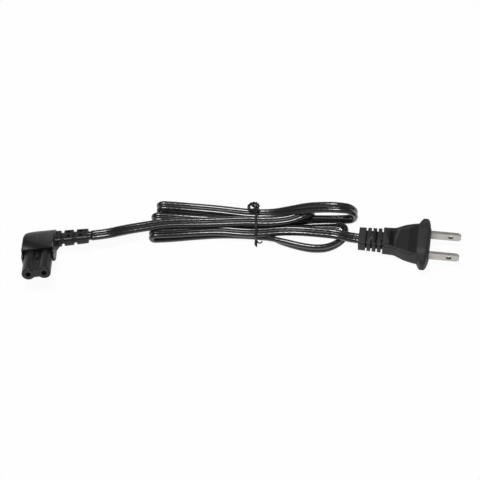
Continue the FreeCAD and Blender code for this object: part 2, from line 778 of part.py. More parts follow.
def add_elbow(body):
    """The block round the nose's shank and the web in its inner corner."""
    half = "elbow_width / 2"
    plan = new_sketch(body, "elbow_plan", "XY_Plane")
    add_rectangle(plan, f"-({half})", half, "elbow_front", "elbow_back")
    add_pad(body, plan, "elbow_block", "elbow_height", symmetric=True)
    back = number("elbow_back")
    add_fillet(body, "elbow_corner_round", "elbow_corner",
               lambda edge: runs_along(edge, 2) and edge.CenterOfMass.x < 0
               and near(edge.CenterOfMass.y, back))
    face = number("elbow_height / 2")
    front = number("elbow_front")

    def on_outline(edge):
        box = edge.BoundBox
        return near(box.ZMin, box.ZMax) and near(abs(box.ZMin), face) and box.YMax > front + 0.01

    add_fillet(body, "elbow_edges", "elbow_edge_round", on_outline)
    slot = new_sketch(body, "cheek_slot", "XZ_Plane", "-elbow_front")
    side, top = "contact_pitch / 2 + nose_radius", "cheek_height / 2"
    add_polygon(slot, mirrored([
        (f"-({side})", top),
        ("-elbow_width", top),
        ("-elbow_width", "elbow_height"),
        ("elbow_width", "elbow_height"),
        ("elbow_width", top),
        (side, top),
    ]))
    add_pocket(body, slot, "cheeks", "2 * (nose_length - elbow_front)")
    web = new_sketch(body, "web_plan", "XY_Plane")
    add_polygon(web, [
        (f"{half} - boot_overlap", "web_start"),
        (half, "web_start"),
        (f"{half} + web_reach", "boot_axis - boot_root_width / 2"),
        (f"{half} + web_reach", "boot_axis"),
        (f"{half} - boot_overlap", "boot_axis"),
    ])
    add_pad(body, web, "web", "web_height", symmetric=True)
    bevel = new_sketch(body, "bevel_profile", "YZ_Plane")
    slope = [
        ("elbow_back - elbow_bevel", "elbow_height / 2"),
        ("elbow_back + elbow_bevel", "elbow_height / 2 - 2 * elbow_bevel_drop"),
        ("elbow_back + elbow_bevel", "elbow_height"),
        ("elbow_back - elbow_bevel", "elbow_height"),
    ]
    add_polygon(bevel, slope)
    add_polygon(bevel, flipped(slope))
    add_pocket(body, bevel, "back_bevels", "2 * elbow_width")


def make_hank():
    """The outer shape of the folded and tied flex, plain: bundle, top strand and the two open loops."""
    body = new_body("hank_bundle")
    plan = new_sketch(body, "bundle_plan", "XY_Plane")
    add_polygon(plan, [
        ("-hank_left", "-hank_left_near"),
        ("0", "-hank_waist_near"),
        ("hank_right", "-hank_waist_near"),
        ("hank_right", "hank_waist_far"),
        ("0", "hank_waist_far"),
        ("-hank_left_far_end", "hank_left_far"),
    ])
    add_pad(body, plan, "bundle", "hank_layers")
    ridge = new_sketch(body, "ridge_plan", "XY_Plane")
    add_polygon(ridge, [
        ("-ridge_left", "-ridge_near_left"),
        ("hank_right", "-ridge_near_right"),
        ("hank_right", "ridge_width - ridge_near_right"),
        ("-ridge_left", "ridge_width - ridge_near_left"),
    ])
    add_pad(body, ridge, "ridge", "ridge_height")
    far_loop = new_sketch(body, "far_loop_side", "XZ_Plane", "-far_loop_near - core_radius * 2")
    add_polygon(far_loop, [
        ("hank_right / 2", "0"),
        ("far_loop_end", "0"),
        ("far_loop_end", "far_loop_height - far_loop_dip"),
        ("far_loop_crest", "far_loop_height"),
        ("hank_right / 2", "ridge_height - far_loop_dip"),
    ])
    add_pad(body, far_loop, "far_loop", "4 * core_radius", symmetric=True)
    add_fillet(body, "far_loop_rounds", "far_loop_round",
               lambda edge: runs_along(edge, 1) and near(edge.BoundBox.XMax, number("far_loop_end")))
    near_loop = new_sketch(body, "near_loop_plan", "XY_Plane")
    add_polygon(near_loop, [
        ("hank_right / 2", "-hank_waist_near"),
        ("near_loop_foot", "-hank_waist_near - near_loop_ease"),
        ("near_loop_bend", "-near_loop_depth + near_loop_ease"),
        ("near_loop_deepest", "-near_loop_depth"),
        ("near_loop_end - near_loop_end_run", "-near_loop_depth + near_loop_end_drop"),
        ("near_loop_end", "-near_loop_depth + near_loop_end_rise"),
        ("near_loop_end", "-near_loop_inner"),
        ("near_loop_deepest", "-near_loop_inner"),
        ("near_loop_bend", "-near_loop_inner + near_loop_ease"),
        ("hank_right", "-hank_waist_near + near_loop_lap"),
        ("hank_right / 2", "-hank_waist_near + near_loop_lap"),
    ])
    add_pad(body, near_loop, "near_loop", "near_loop_height")
    return body


def make_tie():
    """The twist tie: a band round the bundle, its ends curled up on top and one short tail on the floor."""
    body = new_body("tie_band")
    band = new_sketch(body, "band_outline", "YZ_Plane")
    far, close = "hank_waist_far", "hank_waist_near"
    for grow in ("tie_wall / 2", "-tie_wall / 2"):
        top = f"tie_height - tie_wall / 2 + {grow}"
        shoulder = f"tie_shoulder - tie_wall / 4 + ({grow}) / 2"
        add_polygon(band, [
            (f"-({close} + {grow})", f"tie_wall / 2 - ({grow})"),
            (f"{far} + {grow}", f"tie_wall / 2 - ({grow})"),
            (f"{far} + {grow}", shoulder),
            (f"tie_top_far + ({grow}) / 2", top),
            (f"-(tie_top_near + ({grow}) / 2)", top),
            (f"-({close} + {grow})", shoulder),
        ])
    add_pad(body, band, "band", "tie_width", symmetric=True)
    tail = new_sketch(body, "tail_outline", "XY_Plane")
    add_rectangle(tail, "-tie_width / 2", "tie_width / 2", f"-{close} - tail_length", f"-{close}")
    add_pad(body, tail, "tail", "tie_wall")
    curl = doc.addObject("Part::Torus", "tie_curl")
    bind(curl, "Radius1", "curl_radius")
    bind(curl, "Radius2", "curl_wire")
    tie = doc.addObject("Part::MultiFuse", "twist_tie")
    tie.Label = "twist_tie"
    tie.Shapes = [body, curl]
    return body, curl, tie


def seat(things, place):
    for thing in things:
        thing.Placement = place
    doc.recompute()


def box_of(shapes, place):
    """The close-fitting box of the shapes once they are placed."""
    moved = Part.makeCompound([shape.copy() for shape in shapes])
    moved.Placement = place
    return moved.optimalBoundingBox(False, False)


# Plug, in its own frame
blades = [make_blade("blade_left", 1), make_blade("blade_right", -1)]
insert_block = make_insert()
grip = make_grip()
add_relief_gaps(grip)
flange = make_flange()
tongue, depth, panels = make_panel_cut()
plug_flex_end = make_plug_flex_end()
plug_wires = [make_plug_wire("wire_left_plug", 1), make_plug_wire("wire_right_plug", -1)]
doc.recompute()

plug_turn = Rotation(0, -number("plug_pitch"), number("plug_roll"))
plug_shapes = [thing.Shape for thing in blades + [insert_block, grip, flange]]
box = box_of(plug_shapes, Placement(Vector(), plug_turn))
plug_place = Placement(Vector(-(box.XMin + box.XMax) / 2, 0, -box.ZMin), plug_turn)
seat(blades + plug_wires + [insert_block, grip, flange, tongue, depth, plug_flex_end], plug_place)
plug_outside = doc.addObject("Part::MultiFuse", "plug_outside")
plug_outside.Shapes = [grip, flange]
plug_insert = cut("plug_insert", insert_block, blades)
plug_body = cut("plug_body", plug_outside, [panels, insert_block, plug_flex_end] + blades + plug_wires)
plug_parts = [plug_body, plug_insert, plug_flex_end] + blades + plug_wires

# Hank and tie
hank_at = Vector(number("hank_x"), number("hank_y"), 0)
hank_place = Placement(hank_at, Rotation(Vector(0, 0, 1), number("hank_yaw")))
bundle = make_hank()
tie_band, tie_curl, tie = make_tie()
seat([bundle, tie_band], hank_place)
curl_at = Vector(number("curl_x"), number("curl_y"), number("curl_z"))
seat([tie_curl], hank_place * Placement(curl_at, Rotation()))

# Connector, in its own frame, then on the floor
nose = make_nose()
sleeves = [make_sleeve("sleeve_left", 1), make_sleeve("sleeve_right", -1)]
connector_wires = [make_connector_wire("wire_left_connector", 1),
                   make_connector_wire("wire_right_connector", -1)]
connector_flex_end = make_connector_flex_end()
shell = make_boot()
add_elbow(shell)
connector_turn = Rotation(number("connector_yaw"), -number("connector_pitch"), number("connector_roll"))
turned = hank_place.Rotation * connector_turn
lowest = box_of([nose.Shape, shell.Shape], Placement(Vector(), turned)).ZMin
connector_at = Vector(number("connector_x"), number("connector_y"), -lowest)
connector_place = hank_place * Placement(connector_at, connector_turn)
seat([nose, shell, connector_flex_end] + sleeves + connector_wires, connector_place)
connector_body = cut("connector_body", shell, [nose, connector_flex_end] + sleeves + connector_wires)
connector_parts = [connector_body, nose, connector_flex_end] + sleeves + connector_wires

# Free runs of the flex, each starting along the axis of the strain relief it leaves
first_run = number("exit_run")
runs = []
plug_exit = Vector(-number("relief_rear"), 0, 0)
connector_exit = Vector(number("elbow_width / 2 + boot_length"), number("boot_axis"), 0)
for label, place, exit_point, way, route in (
        ("cord_plug_run", plug_place, plug_exit, Vector(-1, 0, 0), PLUG_ROUTE),
        ("cord_connector_run", connector_place, connector_exit, Vector(1, 0, 0), CONNECTOR_ROUTE)):
    points = [place.multVec(exit_point), place.multVec(exit_point + way * first_run)]
    points += [hank_place.multVec(Vector(*point)) for point in route]
    runs.append(solid_feature(label, flex_tube(label, points)))
    for point in points:
        print("   ", " ".join(f"{value:.2f}" for value in point))

hank = cut("cord_hank", bundle, [tie] + runs)

middle = number("mouth_depth + sleeve_length / 2")
pitch = number("contact_pitch / 2")
for name, place, at, axis in (
        ("blades", plug_place, Vector(0, 0, 0), Vector(1, 0, 0)),
        ("blade_holes", plug_place, Vector(number("blade_hole_setback"), 0, 0), Vector(0, 1, 0)),
        ("contact_bore_left", connector_place, Vector(pitch, middle, 0), Vector(0, -1, 0)),
        ("contact_bore_right", connector_place, Vector(-pitch, middle, 0), Vector(0, -1, 0))):
    point, way = place.multVec(at), place.Rotation.multVec(axis)
    print(f"{name}: at {point.x:.4f} {point.y:.4f} {point.z:.4f}, axis {way.x:.6f} {way.y:.6f} {way.z:.6f}")

doc.recompute()
for thing in doc.Objects:
    if "Invalid" in thing.State or "Error" in thing.State:
        raise ValueError(f"{thing.Label} did not recompute: {thing.State}")
os.makedirs("parts", exist_ok=True)
for thing in plug_parts + [hank, tie] + runs + connector_parts:
    shape = thing.Shape
    if shape.isNull() or not shape.isValid() or not shape.Solids:
        raise ValueError(f"{thing.Label} has no sound shape")
    shape.exportStep(f"parts/{thing.Label}.step")
    box = shape.BoundBox
    print(f"{thing.Label}: {len(shape.Solids)} solid, {shape.Volume / 1000:.3f} cm3,"
          f" x {box.XMin:.1f} to {box.XMax:.1f}, y {box.YMin:.1f} to {box.YMax:.1f},"
          f" z {box.ZMin:.2f} to {box.ZMax:.2f}")
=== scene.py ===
# %% [markdown]
# # A two-blade mains plug on a tied hank of flat twin flex
#
# The lead lies on a pale floor, as it comes out of its box. At the right is the plug: two
# flat blades, an oval flange, a bell-shaped grip and a ribbed strain relief. Its flat twin
# flex is folded back and forth into a hank that a twist tie holds, and at the left it ends
# in a right-angled figure-8 connector.
#
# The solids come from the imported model. This file gives them their finishes and makes what
# a solid shows too plainly: the flex's whole run, the twisted tie, the plug's swept flange
# and the connector's notched strain relief.

# %% The frame
import json
import math

import bmesh
import bpy
from mathutils import Matrix, Vector


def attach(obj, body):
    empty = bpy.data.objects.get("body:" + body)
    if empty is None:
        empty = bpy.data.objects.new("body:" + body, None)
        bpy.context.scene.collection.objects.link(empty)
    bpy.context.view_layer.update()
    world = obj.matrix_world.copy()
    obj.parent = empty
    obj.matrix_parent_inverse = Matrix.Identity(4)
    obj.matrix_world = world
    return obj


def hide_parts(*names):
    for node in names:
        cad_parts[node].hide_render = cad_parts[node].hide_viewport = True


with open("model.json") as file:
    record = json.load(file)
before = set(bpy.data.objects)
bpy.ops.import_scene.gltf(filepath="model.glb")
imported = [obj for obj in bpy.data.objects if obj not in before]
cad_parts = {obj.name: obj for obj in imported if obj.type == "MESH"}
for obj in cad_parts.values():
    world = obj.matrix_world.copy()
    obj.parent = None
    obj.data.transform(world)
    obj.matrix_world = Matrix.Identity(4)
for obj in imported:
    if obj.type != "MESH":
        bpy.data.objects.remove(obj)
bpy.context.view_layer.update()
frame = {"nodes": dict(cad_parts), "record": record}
nodes = frame["nodes"]
MM = 0.001


def show(name, data):
    """A new object in the scene, at the origin."""
    thing = bpy.data.objects.new(name, data)
    bpy.context.scene.collection.objects.link(thing)
    return thing


print("nodes:", ", ".join(sorted(nodes)))

# %% [markdown]
# ## The two mouldings' own frames
#
# The plug leans a little on its flange and the connector is tipped up, so a pattern that
# follows a moulding has to lean with it. The record's mounts say where the blades and the
# contact holes are and which way they point, and that is enough to find both frames: the
# plug's x runs along the blades, and the connector's y runs from its face to its back.

# %% The two mouldings' own frames
MOUNTS = {mount["name"]: mount for mount in frame["record"]["mounts"]}
CONTACT_MIDDLE = 6.95 * MM


def own_frame(x, y, origin):
    """The frame with those two axes and that origin."""
    x, y = x.normalized(), y.normalized()
    matrix = Matrix((x, y, x.cross(y))).transposed().to_4x4()
    matrix.translation = origin
    return matrix


def mount_at(name):
    return Vector(MOUNTS[name]["pos_m"]), Vector(MOUNTS[name]["axis"])


mating_face, blade_way = mount_at("blades")
PLUG_FRAME = own_frame(blade_way, mount_at("blade_holes")[1], mating_face)
left_hole, hole_way = mount_at("contact_bore_left")
right_hole = mount_at("contact_bore_right")[0]
face_middle = (left_hole + right_hole) / 2 + hole_way * CONTACT_MIDDLE
CONNECTOR_FRAME = own_frame(left_hole - right_hole, -hole_way, face_middle)
print("plug at", [round(value, 4) for value in mating_face],
      "connector at", [round(value, 4) for value in face_middle])

# %% [markdown]
# ## The camera
#
# The picture is taken from high above the near side with a long lens, so lines that are
# parallel on the lead stay nearly parallel in it. The eye's place and the point it looks at
# were fitted to the blades, whose spacing is known.

# %% The camera
EYE = Vector((14.68, -817.20, 1261.0)) * MM
AIM = Vector((-91.91, -7.18, 3.0)) * MM
LENS, SENSOR = 207.0, 36.0
NEAREST, FARTHEST = 0.05, 20.0


def place_camera(eye, aim, lens):
    data = bpy.data.cameras.new("camera")
    data.lens = lens
    data.sensor_width = SENSOR
    data.clip_start, data.clip_end = NEAREST, FARTHEST
    camera = show("camera", data)
    camera.location = eye
    camera.rotation_mode = "QUATERNION"
    camera.rotation_quaternion = (aim - eye).to_track_quat("-Z", "Y")
    bpy.context.scene.camera = camera


place_camera(EYE, AIM, LENS)
print("camera", round((EYE - AIM).length, 3), "m away")

# %% [markdown]
# ## The flex's route
#
# The flex is one flat twin cord, 6 mm wide and 3 mm thick, from the plug to the connector.
# In the hank it lies in three columns of two layers, with one more strand on top, and it
# turns back at both ends: three tight folds at the left and three open loops at the right. A
# fold ends in a small bulb, because flat flex springs back from a crease.
#
# One NURBS spline holds the whole run. Its control points are written in the hank's own
# frame, whose x axis runs along the bundle and whose origin is on the floor under the tie.
# Each point also has the way its flat side leans: 0 is flat on the floor, 90 is on edge.

# %% The flex's route
HANK_AT = Vector((-84.45, 3.01, 0.0)) * MM
HANK_YAW = math.radians(7.5)
TO_ROW = Matrix.Translation(HANK_AT) @ Matrix.Rotation(HANK_YAW, 4, "Z")

PLUG_EXIT = Vector((-27.05, 0.0, 6.47)) * MM
PLUG_WAY = Vector((-0.999391, 0.0, -0.034899))
CONNECTOR_EXIT = Vector((-171.37, -19.04, 9.61)) * MM
CONNECTOR_WAY = Vector((0.9778, 0.1544, 0.1389))
PLUG_STRAIGHT, CONNECTOR_STRAIGHT = 5 * MM, 8 * MM

PLUG_RUN = [(44.0, -8.4, 7.8, 0), (35.6, -6.6, 6.6, 0), (24.0, -4.5, 5.2, 0), (13.0, -4.2, 4.8, 0),
            (5.0, -5.2, 4.7, 0)]
FOLD_C = [(-6.0, -5.6, 4.8, 0), (-19.6, -3.8, 4.6, 0), (-34.0, -4.5, 4.5, 0), (-44.0, -5.6, 4.9, 0),
          (-49.4, -6.2, 5.4, 0), (-53.5, -6.5, 5.8, 0), (-55.5, -6.7, 5.8, 0), (-56.8, -6.8, 4.6, 0),
          (-56.8, -6.8, 2.7, 0), (-55.4, -6.8, 1.5, 0), (-53.4, -6.7, 1.5, 0), (-49.4, -6.5, 1.5, 0),
          (-44.0, -6.1, 1.5, 0), (-34.0, -5.0, 1.5, 0), (-19.6, -3.9, 1.6, 0), (-6.0, -4.4, 1.8, 0)]
LOOP_E = [(3.0, -5.4, 2.1, 0), (8.0, -7.6, 2.6, -45), (15.0, -10.6, 3.0, -80), (27.0, -14.3, 3.0, -90),
          (35.2, -14.9, 3.0, -90), (41.0, -13.4, 3.0, -90), (45.8, -10.2, 3.0, -90), (48.6, -6.4, 3.0, -100),
          (49.0, -2.6, 2.9, -115), (45.6, -0.2, 2.4, -140), (38.0, 0.2, 1.9, -165), (27.0, 0.0, 1.5, -180),
          (15.0, -0.2, 1.5, -180), (5.0, -0.2, 1.8, -180)]
FOLD_B = [(-6.0, 0.5, 1.9, 0), (-19.7, 2.2, 1.5, 0), (-33.0, 3.1, 1.5, 0), (-43.0, 3.7, 1.5, 0),
          (-48.3, 3.7, 1.5, 0), (-52.3, 3.7, 1.5, 0), (-54.3, 3.7, 1.5, 0), (-55.7, 3.7, 2.7, 0),
          (-55.7, 3.8, 4.6, 0), (-54.4, 3.8, 5.8, 0), (-52.4, 3.8, 5.8, 0), (-48.3, 3.8, 5.4, 0),
          (-43.0, 3.7, 4.9, 0), (-33.0, 3.1, 4.5, 0), (-19.7, 2.2, 4.5, 0), (-6.0, 0.6, 4.8, 0)]
LOOP_D = [(5.0, 0.2, 4.8, 0), (14.0, 2.4, 4.4, -10), (25.1, 4.6, 3.0, -25), (35.5, 4.9, 2.4, -30),
          (45.0, 4.8, 2.3, -25), (51.5, 4.5, 2.8, -10), (54.0, 4.2, 6.0, 0), (54.0, 3.6, 11.0, 0),
          (50.5, 3.1, 15.4, 8), (45.0, 3.0, 16.6, 20), (38.4, 3.8, 15.9, 28), (28.2, 5.3, 13.0, 25),
          (17.9, 5.6, 9.0, 12), (8.5, 6.0, 5.6, 0)]
FOLD_A = [(-3.5, 6.6, 4.8, 0), (-19.7, 9.2, 4.5, 0), (-32.8, 10.5, 4.5, 0), (-40.2, 11.0, 4.9, 0),
          (-45.5, 11.2, 5.4, 0), (-49.6, 11.2, 5.8, 0), (-51.6, 11.2, 5.8, 0), (-52.9, 11.2, 4.6, 0),
          (-52.9, 11.2, 2.7, 0), (-51.5, 11.2, 1.5, 0), (-49.5, 11.2, 1.5, 0), (-45.5, 11.3, 1.5, 0),
          (-40.2, 11.2, 1.5, 0), (-32.8, 10.5, 1.5, 0), (-19.7, 9.2, 1.5, 0), (-6.0, 6.9, 1.9, 0)]
LOOP_F = [(6.0, 7.0, 1.8, 0), (15.0, 8.6, 1.6, 0), (21.5, 9.8, 1.9, 0), (26.6, 9.6, 2.6, 0),
          (30.2, 8.4, 4.8, 0), (30.8, 6.5, 7.6, 0), (28.0, 4.4, 9.8, 0), (20.0, 0.9, 8.6, 0),
          (12.0, 0.1, 7.8, 0), (5.0, -0.2, 7.6, 0)]
TOP_RUN = [(-4.0, 0.3, 7.6, 0), (-19.6, -0.4, 7.5, 0), (-34.0, -0.9, 7.6, 0), (-48.0, -1.5, 8.3, 0),
           (-59.6, -4.0, 8.8, 0), (-71.6, -6.5, 9.0, 0)]


def flex_points():
    """The control points in the scene's frame, each with the direction of the flex's width."""
    level = Vector((0, 1, 0))
    points = [(PLUG_EXIT, level), (PLUG_EXIT + PLUG_WAY * PLUG_STRAIGHT, level)]
    turn = TO_ROW.to_3x3()
    for x, y, z, lean in PLUG_RUN + FOLD_C + LOOP_E + FOLD_B + LOOP_D + FOLD_A + LOOP_F + TOP_RUN:
        angle = math.radians(lean)
        side = turn @ Vector((0, math.cos(angle), math.sin(angle)))
        if side.dot(points[-1][1]) < 0:
            side = -side
        points.append((TO_ROW @ (Vector((x, y, z)) * MM), side))
    points.append((CONNECTOR_EXIT + CONNECTOR_WAY * CONNECTOR_STRAIGHT, side))
    points.append((CONNECTOR_EXIT, side))
    return points


def read_spline(points, steps):
    """The NURBS line with those control points, as a list of places along it."""
    data = bpy.data.curves.new("line", "CURVE")
    data.dimensions = "3D"
    spline = data.splines.new("NURBS")
    spline.points.add(len(points) - 1)
    for knot, place in zip(spline.points, points):
        knot.co = (*place, 1.0)
    spline.order_u = 3
    spline.use_endpoint_u = True
    spline.resolution_u = steps
    line = show("line", data)
    bpy.context.view_layer.update()
    mesh = bpy.data.meshes.new_from_object(line.evaluated_get(bpy.context.evaluated_depsgraph_get()))
    places = [vertex.co.copy() for vertex in mesh.vertices]
    bpy.data.meshes.remove(mesh)
    bpy.data.objects.remove(line)
    bpy.data.curves.remove(data)
    return places


def tightest_bend(line, reach=4):
    """The smallest circle through a place and the two that lie a few steps before and after it."""
    smallest = (math.inf, line[0])
    for before, place, after in zip(line, line[reach:], line[2 * reach:]):
        twice_area = (place - before).cross(after - before).length
        sides = (place - before).length * (after - place).length * (after - before).length
        if twice_area > 0:
            smallest = min(smallest, (sides / (2 * twice_area), place), key=lambda found: found[0])
    return smallest


STEPS = 20
SAME_PLACE = 0.02 * MM
route = flex_points()
pairs = list(zip(read_spline([place for place, side in route], STEPS),
                 read_spline([side for place, side in route], STEPS)))
pairs = [pairs[0]] + [pair for pair, last in zip(pairs[1:], pairs) if (pair[0] - last[0]).length > SAME_PLACE]
flex_line = [place for place, side in pairs]
flex_sides = [side for place, side in pairs]
flex_length = sum((b - a).length for a, b in zip(flex_line, flex_line[1:]))
print(len(route), "control points,", len(flex_line), "places, length", round(flex_length, 3), "m")
bend, bend_at = tightest_bend(flex_line)
print("tightest bend", round(bend / MM, 1), "mm at", [round(value / MM, 1) for value in bend_at])

# %% [markdown]
# ## The flex's jacket
#
# The section is two round cores joined by a thin web, so a groove runs along both flat
# faces. The copper strands inside each core are twisted, and they show through the thin
# jacket as a faint slanting ripple, so each ring of the mesh is a little larger or smaller
# along a screw line. The section is set across each place of the line, square to the run
# and turned to the side direction there.

# %% The flex's jacket
CORE = 1.5 * MM
WEB = 1.3 * MM
RIPPLE = 0.02
RIPPLE_PITCH = 3.1 * MM


def twin_section(core, web, count=13):
    """The outline of both cores with the web's grooves, once round, as (core, angle) pairs."""
    open_angle = math.pi - math.asin(web / 2 / core)
    angles = [-open_angle + 2 * open_angle * i / count for i in range(count + 1)]
    return [(1, angle) for angle in angles] + [(-1, math.pi + angle) for angle in angles]


def ring_faces(rings, points, closed=False):
    """The faces that join rings of as many points each. An open row of rings has a cap at both ends."""
    faces = []
    for i in range(rings if closed else rings - 1):
        following = (i + 1) % rings
        for j in range(points):
            k = (j + 1) % points
            faces.append((i * points + j, i * points + k, following * points + k, following * points + j))
    if not closed:
        faces.append(tuple(reversed(range(points))))
        faces.append(tuple(range((rings - 1) * points, rings * points)))
    return faces


def smooth_sides(mesh):
    """Smooth shading on the faces with four corners, which leaves the caps flat."""
    mesh.polygons.foreach_set("use_smooth", [len(face.vertices) == 4 for face in mesh.polygons])


def sweep_flex(name, line, sides):
    """The flex's mesh, with a UV map that runs along it in metres and once round it."""
    section = twin_section(CORE, WEB)
    vertices = []
    run = [0.0]
    for i, place in enumerate(line):
        along = (line[min(i + 1, len(line) - 1)] - line[max(i - 1, 0)]).normalized()
        across = (sides[i] - along * sides[i].dot(along)).normalized()
        up = along.cross(across)
        if i:
            run.append(run[-1] + (place - line[i - 1]).length)
        for core, angle in section:
            swell = 1 - RIPPLE * (1 - math.sin(math.tau * run[i] / RIPPLE_PITCH + core * angle)) / 2
            x = core * CORE + CORE * swell * math.cos(angle)
            vertices.append(place + across * x + up * CORE * swell * math.sin(angle))
    around = len(section)
    corners = []
    for i in range(len(line) - 1):
        for j in range(around):
            low, high = j / around, (j + 1) / around
            corners += [(run[i], low), (run[i], high), (run[i + 1], high), (run[i + 1], low)]
    corners += [(0.0, 0.0)] * (2 * around)
    mesh = bpy.data.meshes.new(name)
    mesh.from_pydata(vertices, [], ring_faces(len(line), around))
    mesh.update()
    smooth_sides(mesh)
    layer = mesh.uv_layers.new(name="run")
    layer.data.foreach_set("uv", [value for corner in corners for value in corner])
    return show(name, mesh)


flex = sweep_flex("flex", flex_line, flex_sides)
print("flex:", len(flex.data.polygons), "faces")

# %% [markdown]
# ## Node graphs
#
# Finishes and the tie's twist are both node graphs, and this small class builds either. One
# method adds a node: its settings are set first, then its sockets. What it gives back takes
# part in arithmetic, so a mask can be written as a formula, and each operator adds one node.

# %% Node graphs
class Reading:
    """A node's output. Arithmetic on it adds Math nodes."""

    def __init__(self, graph, socket):
        self.graph = graph
        self.socket = socket

    def __getitem__(self, name):
        return Reading(self.graph, self.socket.node.outputs[name])

    def math(self, operation, first, second=0.0):
        return self.graph.add("ShaderNodeMath", {"operation": operation}, {0: first, 1: second})

    def __add__(self, other):
        return self.math("ADD", self, other)

    def __sub__(self, other):
        return self.math("SUBTRACT", self, other)

    def __rsub__(self, other):
        return self.math("SUBTRACT", other, self)

    def __mul__(self, other):
        return self.math("MULTIPLY", self, other)

    def __truediv__(self, other):
        return self.math("DIVIDE", self, other)

    def __pow__(self, other):
        return self.math("POWER", self, other)

    def __abs__(self):
        return self.math("ABSOLUTE", self)

    def lowest(self, other):
        return self.math("MINIMUM", self, other)

    def step(self, low, high):
        """0 below low, 1 above high and a smooth rise between, or the other way round."""
        settings = {"interpolation_type": "SMOOTHSTEP"}
        if low < high:
            values = {"Value": self, "From Min": low, "From Max": high}
            return self.graph.add("ShaderNodeMapRange", settings, values)
        values = {"Value": self, "From Min": high, "From Max": low, "To Min": 1.0, "To Max": 0.0}
        return self.graph.add("ShaderNodeMapRange", settings, values)

    __radd__ = __add__
    __rmul__ = __mul__


class Graph:
    """A node tree that is built one node at a time."""

    def __init__(self, tree):
        self.tree = tree

    def add(self, kind, settings=None, values=None, output=0):
        node = self.tree.nodes.new(kind)
        for name, setting in (settings or {}).items():
            setattr(node, name, setting)
        for name, value in (values or {}).items():
            self.feed(node.inputs[name], value)
        return Reading(self, node.outputs[output]) if node.outputs else None

    def feed(self, socket, value):
        if isinstance(value, Reading):
            self.tree.links.new(value.socket, socket)
        else:
            socket.default_value = value

    def noise(self, place, scale, detail=2.0):
        return self.add("ShaderNodeTexNoise", {}, {"Vector": place, "Scale": scale, "Detail": detail})

    def blend(self, factor, first, second):
        """A colour between two colours, each three numbers or another blend."""
        values = {0: factor}
        for slot, colour in ((6, first), (7, second)):
            values[slot] = colour if isinstance(colour, Reading) else (*colour, 1.0)
        return self.add("ShaderNodeMix", {"data_type": "RGBA"}, values, output=2)

    def bump(self, height, distance):
        return self.add("ShaderNodeBump", {}, {"Height": height, "Distance": distance, "Strength": 1.0})


def new_finish(name):
    """A material with its graph and its shader node."""
    material = bpy.data.materials.new(name)
    material.use_nodes = True
    graph = Graph(material.node_tree)
    return material, graph, material.node_tree.nodes["Principled BSDF"]


def object_place(graph, frame_matrix):
    """Object coordinates in millimetres in a moulding's own frame."""
    back = frame_matrix.inverted()
    coordinates = graph.add("ShaderNodeTexCoord", output="Object")
    values = {"Vector": coordinates, "Scale": (1 / MM,) * 3,
              "Rotation": back.to_euler("XYZ"), "Location": back.to_translation() / MM}
    return graph.add("ShaderNodeMapping", {}, values)


def dress(material, *names):
    """Gives a finish to CAD nodes, whose meshes stay as they are."""
    for name in names:
        mesh = nodes[name].data
        mesh.materials.clear()
        mesh.materials.append(material)
    print(material.name, "on", ", ".join(names))


print("finishes can be made for", len(nodes), "nodes")

# %% [markdown]
# ## The mouldings' plastic
#
# Both mouldings are soft black plastic from a spark-eroded mould, which leaves a fine grain
# and a matt skin. The grip's two sunk panels are a deeper black. A thin paler band round
# them is a painted highlight on the rim's edge. A mould opens in two halves, and the faint
# ridge where they met runs round each piece at its middle height. Grain and ridge are too
# small to model and go into a bump.

# %% The mouldings' plastic
GRAIN_DEPTH, GRAIN_DETAIL = 0.03 * MM, 3.0
CLOUD_SCALE = 0.35
SEAM_HALF_WIDTH, SEAM_RISE = 0.09, 1.5
PANEL_INNER, PANEL_FRONT, PANEL_SHOULDER = 8.6, -5.72, -11.2
PANEL_BEND, PANEL_BEND_HALF, PANEL_TIP, PANEL_TIP_HALF = -18.2, 4.9, -20.4, 4.2
PANEL_SLOPE = (PANEL_INNER - PANEL_BEND_HALF) / (PANEL_SHOULDER - PANEL_BEND)
PANEL_TIP_SLOPE = (PANEL_BEND_HALF - PANEL_TIP_HALF) / (PANEL_BEND - PANEL_TIP)
SIDE_BLUR, FRONT_BLUR, TIP_BLUR = 0.15, 0.05, 0.1
# The rim's painted highlight: its width, where it starts, how strong and how pale it is.
RIM_WIDTH, RIM_START, RIM_HIGHLIGHT_STRENGTH, RIM_HIGHLIGHT_TONE = 0.45, 1.0, 0.7, (0.10, 0.10, 0.10)
PLUG_TONES = ((0.022, 0.022, 0.023), (0.030, 0.030, 0.031))
PANEL_TONES = ((0.006, 0.007, 0.006), (0.009, 0.009, 0.008))
CONNECTOR_TONES = ((0.004, 0.004, 0.005), (0.007, 0.007, 0.008))
BRIDGE_TONES = ((0.03, 0.03, 0.03), (0.04, 0.04, 0.04))
PLUG_SPECULAR = 0.3


def moulded(name, matrix, tones, roughness, grain, spread=0.14):
    """Grained plastic in a moulding's own frame, with its parting line."""
    material, graph, shader = new_finish(name)
    place = object_place(graph, matrix)
    spot = graph.add("ShaderNodeSeparateXYZ", {}, {0: place})
    cloud = graph.noise(place, CLOUD_SCALE)
    seam = abs(spot["Z"]).step(2 * SEAM_HALF_WIDTH, SEAM_HALF_WIDTH)
    height = graph.noise(place, grain, GRAIN_DETAIL) + seam * SEAM_RISE
    base = graph.blend(cloud, *tones)
    graph.feed(shader.inputs["Normal"], graph.bump(height, GRAIN_DEPTH))
    graph.feed(shader.inputs["Base Color"], base)
    graph.feed(shader.inputs["Roughness"], cloud * spread + (roughness - spread / 2))
    return material, graph, shader, spot, cloud, base


